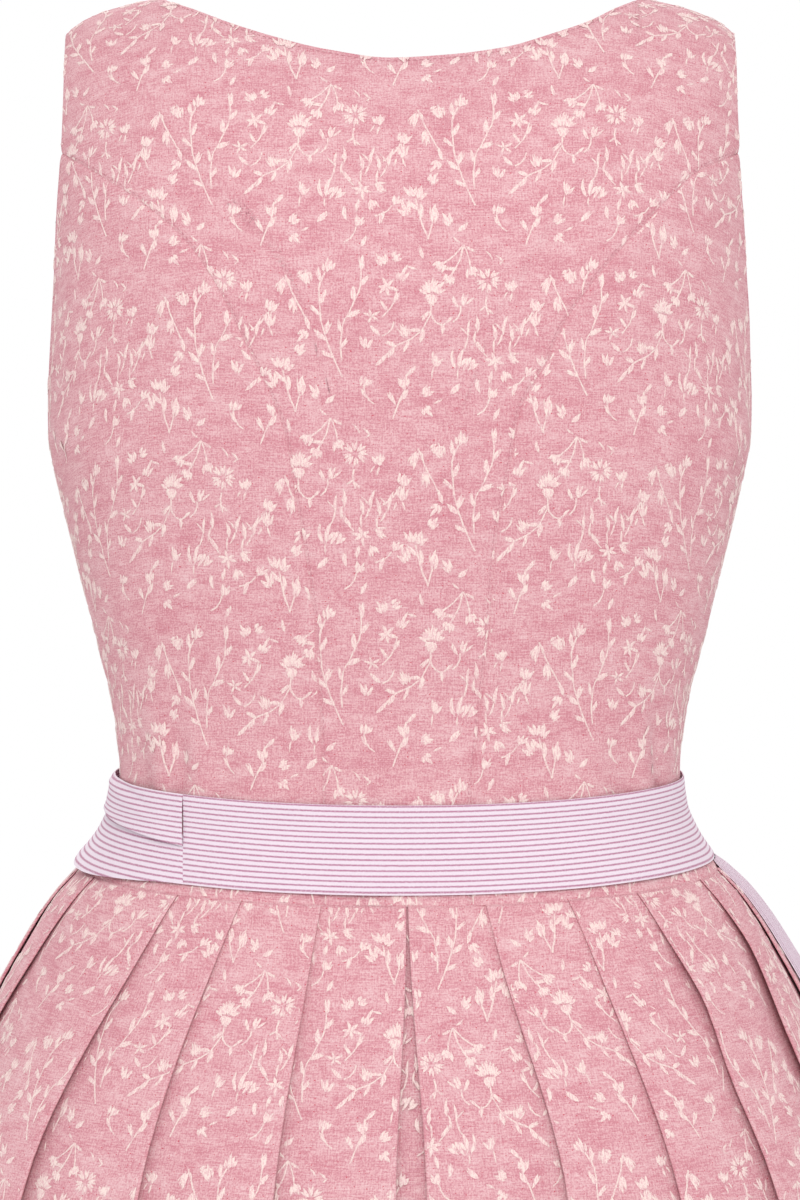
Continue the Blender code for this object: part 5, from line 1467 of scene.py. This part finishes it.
def apron():
    """The gathered panel: soft folds that open towards the hem, small gathers under the band, stitched hems."""
    depths = np.array([-3.4, -2.4, -1.2, 0, 1.6, 3.6, 6, 9, 12.5, 17, 22, 28, 35, 43, 52, 62, 74, 88, 104, 122, 142, 164, 188, 214, 242, 272, 304, 338, 374, 410, 446, 482, 516, 548, 572, 582, 586.5, 588.5, 590, 591.5, 593.5, 598, 606, 613, 617, 619, 620])
    share = np.concatenate([[0, 0.0006, 0.0014, 0.003, 0.0055, 0.008, 0.0093, 0.0105, 0.0118, 0.0135, 0.016], np.linspace(0.018, 0.982, 331)])
    share = np.concatenate([share, 1 - share[10::-1]])
    cut = share * APRON_CUT
    wave = 0.5 - 0.5 * np.cos(2 * PI * (8 * share + 0.12 * np.sin(4.1 * PI * share)))
    rng = np.random.default_rng(5)
    pinch = 0.5 + 0.5 * np.sin(2 * PI * 44 * share + 1.7 * np.sin(2 * PI * 5.3 * share + 1) + 1.1 * np.sin(2 * PI * 11.7 * share))
    reach = 26 + 22 * np.interp(share, np.linspace(0, 1, 45), rng.uniform(0, 1, 45))
    rows = []
    for depth in depths:
        ring = skirt_ring(depth)
        half = ring[2][-1]
        least, fold = (float(smooth(APRON_ROWS[:, 0], APRON_ROWS[:, k], depth)) for k in (1, 2))
        s = -(APRON_RIGHT + share * (2 - APRON_RIGHT - APRON_LEFT)) * half
        down = max(depth, 0.0)
        stand = least + fold * wave + 1.0 + (0.95 * np.exp(-((down / reach) ** 1.6)) - 0.25) * pinch * np.clip((depth + 3.4) / 4, 0.35, 1)
        stand = stand + 0.6 * np.sin(down / 120 + 9 * share) * np.sin(2 * PI * 13 * share + down / 160) * np.clip(down / 200, 0, 1)
        hem = 0.35 * np.exp(-(((depth - 590) / 1.3) ** 2)) + 0.35 * np.exp(-(((620 - depth) / 0.9) ** 2))
        edge_gap = np.minimum(cut, APRON_CUT - cut)
        hem = hem + 0.3 * np.exp(-(((edge_gap - 9.6) / 1.2) ** 2)) + 0.35 * np.exp(-((edge_gap / 0.8) ** 2))
        settled = np.exp(-((edge_gap / 15) ** 2))
        stand = stand + (1.05 + 1.5 * np.clip((depth - 15) / 90, 0, 1) - stand) * settled
        if depth < 0:
            stand = stand + over_placket(on_ring(ring, s, stand)[:, 0], 1.9)
        thick = APRON_CLOTH + 0.25 * ((depth > 590) | (edge_gap < 9.6))
        rows.append((on_ring(ring, s, stand - hem), on_ring(ring, s, stand - thick), np.stack([cut, np.full(len(cut), -depth)], -1)))
    outer, inner, uv = (np.array([r[k] for r in rows]) for k in range(3))
    obj = shell("apron_panel", outer, inner, uv, STRIPES_DOWN)
    declare("apron_panel", (APRON_CUT, 624.0), area_of(outer))
    n = grid_normals(outer)
    row = int(np.searchsorted(depths, 588.5))
    stitch_row("apron_stitches", outer[row] + 0.1 * n[row], n[row])
    for column in (int(np.searchsorted(cut, 8.4)), len(cut) - 1 - int(np.searchsorted(cut, 8.4))):
        stitch_row("apron_stitches", outer[2:-2, column] + 0.1 * n[2:-2, column], n[2:-2, column])


TIE_CUT = 64.0


def tie_back():
    """The tie from the seam at the back left, round the side to the knot, with the pleat that folds it to the band's
    width: the upper layer laps over the lower one."""
    stations = 150
    end = KNOT_ANGLE - np.radians(5.5)
    t = np.concatenate([[0, 0.0012, 0.0028, 0.0055], np.linspace(0.009, 1, stations - 4)])
    seam = float(tie_seam_angle(0.5))
    angle = seam + (end - seam) * t
    first = (t / 0.35).clip(0, 1)
    reach = np.clip((angle - np.radians(75)) / np.radians(25), 0, 1)
    lift = BAND_STAND + 2.0 * reach * reach * (3 - 2 * reach)
    squeeze = np.clip((t - 0.72) / 0.28, 0, 1) ** 2
    rise = np.clip((angle - seam) / (np.radians(86) - seam), 0, 1)
    pleat_at = 0.405 + 0.155 * rise - 0.06 * np.clip((angle - np.radians(86)) / np.radians(50), 0, 1)
    droop = np.exp(-(((angle - np.radians(84)) / np.radians(np.where(angle < np.radians(84), 24, 18))) ** 2)) * np.clip((angle - seam) / 0.2, 0, 1)
    overlap = 0.03 + 0.27 * np.sin(PI * (0.1 + 0.8 * t))
    q = np.linspace(0, 1, 22)
    grid = {"out": [], "in": [], "uv": []}
    arc = np.concatenate([[0], np.cumsum(np.linalg.norm(np.diff(ring_point(angle, band_place(angle, 0.5)), axis=0), axis=1))])
    for k in range(stations):
        top, bottom, pleat, lap = 1.0 - 0.2 * squeeze[k], 0.25 * squeeze[k] - 0.12 * droop[k], pleat_at[k], overlap[k]
        height = float(band_top(angle[k]) - waist_seam(angle[k]) - BAND_ABOVE_SEAM)
        opened = float(np.clip(arc[k] / 16, 0, 1))
        layer = 1.15 * (0.55 + 0.45 * opened * opened * (3 - 2 * opened))
        r = 0.39 * layer
        up = top + (pleat - top) * q
        bulge = 0.5 * np.exp(-(((angle[k] - np.radians(82)) / 0.22) ** 2))
        upper = 0.6 * layer + (2 * layer - 0.6 * layer) * np.clip((top - up) / max(top - pleat - lap - 0.06, 0.06), 0, 1) ** 0.8
        x = float(section(HALF_WIDTH, band_place(angle[k], 0.6)) * np.sin(angle[k]))
        fold = 0.80 + 0.17 * (x - 110) / 13 if angle[k] < PI / 2 else 2.0
        upper = upper - 0.75 * np.exp(-((up - fold) / 0.05) ** 2) * np.clip((x - 108) / 6, 0, 1) + 0.4 * np.exp(-((up - fold + 0.11) / 0.06) ** 2) * np.clip((x - 104) / 8, 0, 1)
        upper = upper + 0.22 * np.sin(arc[k] / 17 + 3 * up) * np.sin(up * 7 + 1) + bulge * (q**2)
        upper = upper - 0.35 * np.exp(-(((top - up) * height / 0.7) ** 2)) - 0.12 * np.exp(-((arc[k] / 0.5) ** 2))
        upper = upper - 0.85 * np.exp(-(((angle[k] - np.radians(86)) / 0.3) ** 2)) * np.exp(-(((top - up) * height / 9) ** 2))
        edge_stand = upper[-1]
        turn = np.linspace(PI / 2, 3 * PI / 2, 7)[1:-1]
        low = q * 1.0
        down = pleat + lap + (bottom - pleat - lap) * low
        lower = 0.24 * np.sin(arc[k] / 23 + 1) * np.sin(down * 9) - 0.4 * np.exp(-(((down - bottom) * height / 0.7) ** 2)) - 0.3 * np.exp(-((arc[k] / 0.7) ** 2)) * (down < pleat)
        lower = lower + 0.55 * np.exp(-(((down - 0.2) / 0.16) ** 2)) * np.clip((angle[k] - np.radians(60)) / 0.4, 0, 1) * (1 - reach[k]) + 1.3 * droop[k] * low**2
        bend = r / height * np.abs(np.cos(turn))
        share_line = np.concatenate([up, pleat - bend, [pleat, pleat + lap * 0.5], pleat + lap + bend, down])
        stand_line = np.concatenate([upper, edge_stand - r + r * np.sin(turn), [layer, layer], 0.5 * layer * (1 + np.sin(turn)), lower])
        v = np.concatenate([(1 - up) * height, (1 - pleat) * height + r * (turn - PI / 2), (1 - pleat) * height + np.array([2.0, 2.0 + 0.5 * lap * height]), (1 - pleat) * height + lap * height + 2 + r * (turn - PI / 2), TIE_CUT - down * height])
        flat = np.stack([share_line * height, stand_line], -1)
        for store, by in (("out", 0.0), ("in", 0.3 * layer)):
            moved = offset_line(flat, by)
            begin = tie_seam_angle(moved[:, 0] / height) - np.radians(0.05)
            a = begin + (end - begin) * t[k]
            z = band_place(a, moved[:, 0] / height)
            grid[store].append(ring_point(a, z) + form_normal(a, z) * (moved[:, 1] + lift[k] + APRON_CLOTH + 0.35)[:, None])
        grid["uv"].append(np.stack([np.full(len(v), arc[k]), v], -1))
    outer, inner, uv = (np.array(grid[key]) for key in ("out", "in", "uv"))
    obj = shell("apron_tie_back", outer, inner, uv, STRIPES_LONG, 70)
    declare("apron_tie_back", (arc[-1] + 4, TIE_CUT), area_of(outer))


def tie_front():
    """The short stretch of the other tie on the band's face, gathered into the knot."""
    start, end = TIE_FRONT_ANGLE, KNOT_ANGLE + np.radians(5.5)
    rows, columns = spaced(36, 0.9), np.linspace(0, 1, 40)
    share, t = np.meshgrid(rows, columns, indexing="ij")
    angle = start + (end - start) * t
    pinch = 0.06 + 0.2 * t**1.5
    z = band_place(angle, pinch + (1 - 2 * pinch) * share)
    ripple = 1.0 * t**0.7 * np.sin(share * PI * 3.0 + 0.3 * np.sin(4 * t)) ** 2 + 0.25 * np.sin(share * 21 + 3 * t) * t
    stand = band_stand(angle) + 0.7 + BAND_WALL + ripple + 0.9
    points, normals = ring_point(angle, z), form_normal(angle, z)
    edge_roll = 0.35 * (np.exp(-((share * 36 / 0.8) ** 2)) + np.exp(-(((1 - share) * 36 / 0.8) ** 2)) + np.exp(-((t * 32 / 0.8) ** 2)))
    outer, inner = points + normals * (stand - edge_roll)[..., None], points + normals * (stand - APRON_CLOTH - 0.2)[..., None]
    along_it = np.abs(angle - start) * ARC_PER_RADIAN
    obj = shell("apron_tie_front", outer, inner, np.stack([along_it, share * 36], -1), STRIPES_LONG)
    length = float(np.linalg.norm(np.diff(outer[len(rows) // 2], axis=0), axis=1).sum())
    declare("apron_tie_front", (length + 2, 37.0), area_of(outer))


def front_stand(z):
    """How far the band, and below it the apron with its folds, stands off the form at the front."""
    depth = WAIST_SEAM_FRONT - z
    folds = smooth(APRON_ROWS[:, 0], APRON_ROWS[:, 1] + APRON_ROWS[:, 2], depth) + 1.2
    return np.where(depth < -BAND_ABOVE_SEAM, 5.0, np.maximum(folds, 5.0)) + 0.4


def knot():
    at, out = ring_point(KNOT_ANGLE, KNOT_Z), outward(np.array(KNOT_ANGLE), np.array(KNOT_Z))
    beside = np.array([-out[1], out[0], 0.0])
    width, deep, height = KNOT_SIZE
    centre = at + out * (front_stand(KNOT_Z) + 1.6 + deep / 2)
    tilt = np.linspace(-1.5, 1.5, 46)[:, None]
    round_it = np.linspace(0, 2 * PI, 96, endpoint=False)[None, :]
    power = lambda c, e: np.sign(c) * np.abs(c) ** e
    x = power(np.sin(tilt), 0.72) + 0 * round_it
    y, z = power(np.cos(tilt) * np.cos(round_it), 0.72), power(np.cos(tilt) * np.sin(round_it), 0.72)
    crease = 0.05 * np.sin(9.5 * x + 0.9 * np.sin(round_it) + 0.4) + 0.03 * np.sin(17 * x + 1.4 * np.cos(round_it)) - 0.05 * np.exp(-(((x - 0.25 + 0.18 * np.sin(round_it)) / 0.08) ** 2))
    swell = 1 + crease * np.cos(tilt) - 0.06 * np.exp(-((np.abs(z) - 0.0) / 0.5) ** 2) * (1 - np.abs(x))
    rings = centre + beside * (x * width / 2)[..., None] + out * (y * swell * deep / 2)[..., None] + np.array([0, 0, 1.0]) * (z * swell * height / 2)[..., None]
    verts, quads, tris = capped(rings)
    uv = np.concatenate([np.stack([(round_it + 0 * tilt) * 11, x * width / 2], -1).reshape(-1, 2), [[0, -width / 2], [0, width / 2]]])
    obj = make("bow_knot", verts, [quads, tris], uv, STRIPES_LONG, 60)
    declare("bow_knot", (42.0, 25.0))


def loop(name, sign, droop, length, phase):
    """A loop of the bow: out behind, round its end and back in front, with folds that run from the knot."""
    start = KNOT_SIZE[0] / 2 + 1.2
    path = [(start, 4.5), (30, 2.2), (52, 1.2), (length - 14, 1.0), (length - 3, 3.0), (length, 7.5), (length - 5, 12.5), (length - 18, 16.0), (50, 17.0), (30, 14.5), (start, 11.0)]
    path = along(path, np.linspace(0, 1, 84))
    share = np.clip((path[:, 0] - start) / (length - start), 0, 1)
    half = 8 + (LOOP_WIDTH / 2 - 8) * np.sin(share * PI / 2) ** 1.2
    way = np.gradient(path, axis=0)
    side = np.stack([way[:, 1], -way[:, 0]], -1) / np.linalg.norm(way, axis=1, keepdims=True)
    rows = spaced(LOOP_WIDTH, 1.5)
    across = (2 * rows - 1)[None, :]
    step = np.concatenate([[0], np.cumsum(np.linalg.norm(np.diff(path, axis=0), axis=1))])
    fade = np.exp(-(((path[:, 0] - start) / 46) ** 1.5))[:, None]
    fold = 1.15 * fade * np.sin(across * 8.2 + phase + 0.8 * np.sin(share[:, None] * 3)) + 0.5 * np.sin(across * 3.1 + 2.5 * share[:, None] + phase) * np.sin(share[:, None] * PI) + 0.3 * fade * np.sin(across * 17 + 2 * phase)
    roll = 0.3 * (np.exp(-((rows * LOOP_WIDTH / 0.8) ** 2)) + np.exp(-(((1 - rows) * LOOP_WIDTH / 0.8) ** 2)))[None, :]
    grids = []
    for by in (0.35 + roll, 0.35 + APRON_CLOTH + 0.2):
        depth_by = by - fold
        run = path[:, :1] - side[:, :1] * depth_by
        off = path[:, 1:] - side[:, 1:] * depth_by
        w = across * half[:, None]
        z = KNOT_Z - run * np.sin(droop) + w * np.cos(droop)
        angle = KNOT_ANGLE - sign * (run * np.cos(droop) + w * np.sin(droop)) / ARC_PER_RADIAN
        stand = front_stand(z) + off
        grids.append(ring_point(angle, z) + outward(angle, z) * stand[..., None])
    uv = np.stack([step[:, None] + 0 * across, across * LOOP_WIDTH / 2 + 0 * step[:, None]], -1)
    obj = shell(name, grids[0], grids[1], uv, STRIPES_LONG, 60)
    declare(name, (step[-1], LOOP_WIDTH), area_of(grids[0]))


def hanging_end(name, lean, length, lift, skew, phase):
    """A hanging end of the bow: narrow and folded at the knot, opening as it falls on the apron."""
    t = np.concatenate([np.linspace(0, 0.3, 46), np.linspace(0.31, 0.985, 60), [0.988, 0.991, 0.994, 0.997, 0.999, 1.0]])[:, None]
    rows = spaced(TAIL_WIDTH, 1.6)
    across = (2 * rows - 1)[None, :]
    half = TAIL_WIDTH / 2 * (0.28 + 0.72 * np.clip(t / 0.25, 0, 1) ** 0.8)
    centre = section(HALF_WIDTH, KNOT_Z) * np.sin(KNOT_ANGLE)
    x = centre + lean * length * t + across * half + 1.6 * np.sin(t * 6 + phase) * t * (1 - t)
    z = KNOT_Z - KNOT_SIZE[2] / 2 - 1.5 - length * t + skew * across * t
    angle = PI - np.arcsin(x / section(HALF_WIDTH, z))
    fade = np.exp(-((t / 0.16) ** 1.4))
    stand = front_stand(z) + lift + 1.6 * np.sin(2.2 * across + 3 * t) ** 2 * t + 0.75
    stand = stand + 0.9 * fade * np.sin(across * 7.5 + phase) + 0.45 * np.sin(across * 4.2 + 5 * t + phase) * np.clip(4 * t, 0, 1) * (1 - 0.5 * t)
    roll = 0.3 * (np.exp(-((rows * TAIL_WIDTH / 0.8) ** 2)) + np.exp(-(((1 - rows) * TAIL_WIDTH / 0.8) ** 2)))[None, :]
    roll = roll + 0.28 * np.exp(-((((1 - t) * length - 8) / 0.9) ** 2)) + 0.3 * np.exp(-(((1 - t) * length / 0.9) ** 2))
    base, out = ring_point(angle, z), outward(angle, z)
    outer, inner = base + out * (stand - roll)[..., None], base + out * (stand - APRON_CLOTH - 0.15)[..., None]
    uv = np.stack([length * t + 0 * across, across * TAIL_WIDTH / 2 + 0 * t], -1)
    obj = shell(name, outer, inner, uv, STRIPES_LONG, 60)
    declare(name, (length + 1, TAIL_WIDTH), area_of(outer))


def on_front(x, z, stand):
    """Points on the front of the bodice and their normals."""
    place = place_on_form(np.asarray(x, float), np.asarray(z, float))
    n = shell_normal(place[..., 0], place[..., 1], -1)
    return shell_point(place[..., 0], place[..., 1], -1) + n * np.asarray(stand, float)[..., None], n


def buttons():
    """Sew-through buttons with a rolled rim, a dished face and four holes, their thread, and the worked buttonholes."""
    count = 60
    turn = np.linspace(0, 2 * PI, count, endpoint=False)
    face = [(0.12, 1.50), (4.3, 1.58), (4.8, 1.74), (5.3, 2.12), (5.8, 2.34), (6.2, 2.36), (6.6, 2.2), (6.9, 1.86), (7.0, 1.5)]
    fine = np.concatenate([np.linspace(0.12, 4.3, 21), np.linspace(4.5, 6.9, 13)])
    profile = [(q, float(smooth([p[0] for p in face], [p[1] for p in face], q))) for q in fine] + [(7.0, 1.5), (7.0, 0.9), (6.85, 0.45), (6.4, 0.12), (5.6, 0.0), (2.0, 0.0), (0.12, 0.0)]
    profile = np.array(profile)
    x, y = profile[:, :1] * np.cos(turn), profile[:, :1] * np.sin(turn)
    h = np.repeat(profile[:, 1:], count, 1)
    hole = np.min([np.hypot(x - a, y - b) for a in (-1.3, 1.3) for b in (-1.3, 1.3)], 0)
    sink = np.clip((1.0 - hole) / 0.32, 0, 1)
    top = np.arange(len(profile))[:, None] < len(fine)
    h = h - 1.3 * sink * sink * (3 - 2 * sink) * top
    local = np.stack([x, y, h], -1)
    threads, holes = [], []
    for number, z in enumerate(BUTTON_HEIGHTS, 1):
        at, out = on_front(0.0, float(z), PLACKET_STAND + 1.2 + 0.6)
        right = np.cross(np.array([0, 0, 1.0]), out)
        right /= np.linalg.norm(right)
        up = np.cross(out, right)
        lean = np.radians(7 * np.sin(number * 2.3))
        right, up = right * np.cos(lean) + up * np.sin(lean), up * np.cos(lean) - right * np.sin(lean)
        turn_in = lambda p: at + p[..., :1] * right + p[..., 1:2] * up + p[..., 2:] * out
        verts, quads, tris = capped(turn_in(local))
        button = make(f"button_{number}_shell", verts, [quads, tris], None, BUTTON, 40)
        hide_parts(f"button_{number}")
        for a in (-1.3, 1.3):
            for by in (-0.22, 0.22):
                bar = np.array([(a + by, -1.3, 0.5), (a + by, -1.22, 1.4), (a + by * 1.2, -0.6, 2.0), (a + by * 1.3, 0, 2.12), (a + by * 1.2, 0.6, 2.0), (a + by, 1.22, 1.4), (a + by, 1.3, 0.5)])
                threads.append(tube(turn_in(bar), 0.24, 7))
        threads.append(tube(turn_in(np.array([(0, 0, -0.95), (0, 0, -0.5), (0, 0, 0.15)])), [1.5, 1.2, 1.4], 10))
        q = np.linspace(0, 2 * PI, 44, endpoint=False)
        long_way, wide = 7.6, 1.15
        hx = wide * np.cos(q)
        hz = z - 5.6 + np.sign(np.sin(q)) * (long_way - wide) * (np.abs(np.sin(q)) > 0.05) + wide * np.sin(q)
        line, normal = on_front(hx, hz, np.full(len(q), PLACKET_STAND + 1.12))
        knots = 0.42 + 0.06 * np.cos(np.arange(len(q)) * PI)
        ring = np.concatenate([line, line[:1]])
        holes.append(tube(ring, np.concatenate([knots, knots[:1]]), 6))
    verts, faces = joined(threads)
    obj = make("button_threads", verts, faces, None, THREAD, 80)
    verts, faces = joined(holes)
    obj = make("buttonholes", verts, faces, None, THREAD, 80)


band()
apron()
tie_back()
tie_front()
knot()
loop("bow_loop_outer", 1, np.radians(24), LOOP_LENGTH, 0.4)
loop("bow_loop_inner", -1, np.radians(19), LOOP_LENGTH + 6, 2.1)
hanging_end("bow_tail_outer", 0.10, TAIL_LENGTH, 0.0, -9.0, 0.7)
hanging_end("bow_tail_inner", -0.05, TAIL_LENGTH * 0.94, 3.6, 9.0, 2.6)
skirt()
bodice()
buttons()
sew("bodice_stitches", THREAD)
sew("apron_stitches", PALE_THREAD)

# ---------------------------------------------------------------- camera, light, floor

scene = bpy.context.scene
floor_mesh = bpy.data.meshes.new("floor")
s = 3.0
floor_mesh.from_pydata([(-s, -s, -1.25), (s, -s, -1.25), (s, s, -1.25), (-s, s, -1.25)], [], [(0, 1, 2, 3)])
floor = bpy.data.objects.new("floor", floor_mesh)
scene.collection.objects.link(floor)
floor_mat = bpy.data.materials.new("floor")
floor_mat.use_nodes = True
floor_mat.node_tree.nodes["Principled BSDF"].inputs["Base Color"].default_value = (0.9, 0.9, 0.9, 1)
floor_mat.node_tree.nodes["Principled BSDF"].inputs["Roughness"].default_value = 0.9
floor_mesh.materials.append(floor_mat)

world = bpy.data.worlds.new("studio")
scene.world = world
world.use_nodes = True
shine = world.node_tree.nodes["Background"]
shine.inputs[0].default_value = (1, 1, 1, 1)
shine.inputs[1].default_value = 0.92
backdrop = world.node_tree.nodes.new("ShaderNodeBackground")
backdrop.inputs[0].default_value = (1, 1, 1, 1)
seen, choice = world.node_tree.nodes.new("ShaderNodeLightPath"), world.node_tree.nodes.new("ShaderNodeMixShader")
world.node_tree.links.new(seen.outputs["Is Camera Ray"], choice.inputs[0])
world.node_tree.links.new(shine.outputs[0], choice.inputs[1])
world.node_tree.links.new(backdrop.outputs[0], choice.inputs[2])
world.node_tree.links.new(choice.outputs[0], world.node_tree.nodes["World Output"].inputs[0])

ELEVATION, DISTANCE, FRAME_HEIGHT = np.radians(4.5), 3.0, 0.54
target = Vector((0, 0, -0.263))
cam = bpy.data.cameras.new("camera")
camera = bpy.data.objects.new("camera", cam)
scene.collection.objects.link(camera)
camera.location = target + Vector((0, np.cos(ELEVATION), np.sin(ELEVATION))) * DISTANCE
camera.rotation_euler = (target - camera.location).to_track_quat("-Z", "Y").to_euler()
cam.sensor_fit, cam.sensor_height, cam.lens = "VERTICAL", 36.0, 36.0 * DISTANCE / FRAME_HEIGHT
cam.clip_end = 50
scene.camera = camera


def area_light(name, place, size, power):
    light = bpy.data.lights.new(name, "AREA")
    light.shape, light.size, light.energy = "SQUARE", size, power
    obj = bpy.data.objects.new(name, light)
    obj.location = place
    obj.rotation_euler = (Vector((0, 0, -0.3)) - Vector(place)).to_track_quat("-Z", "Y").to_euler()
    scene.collection.objects.link(obj)


area_light("key", (-0.15, 2.9, 1.5), 1.3, 42)
area_light("fill_front", (0.3, -2.9, 1.4), 1.3, 40)
scene.view_settings.view_transform = "Standard"
scene.view_settings.look = "None"
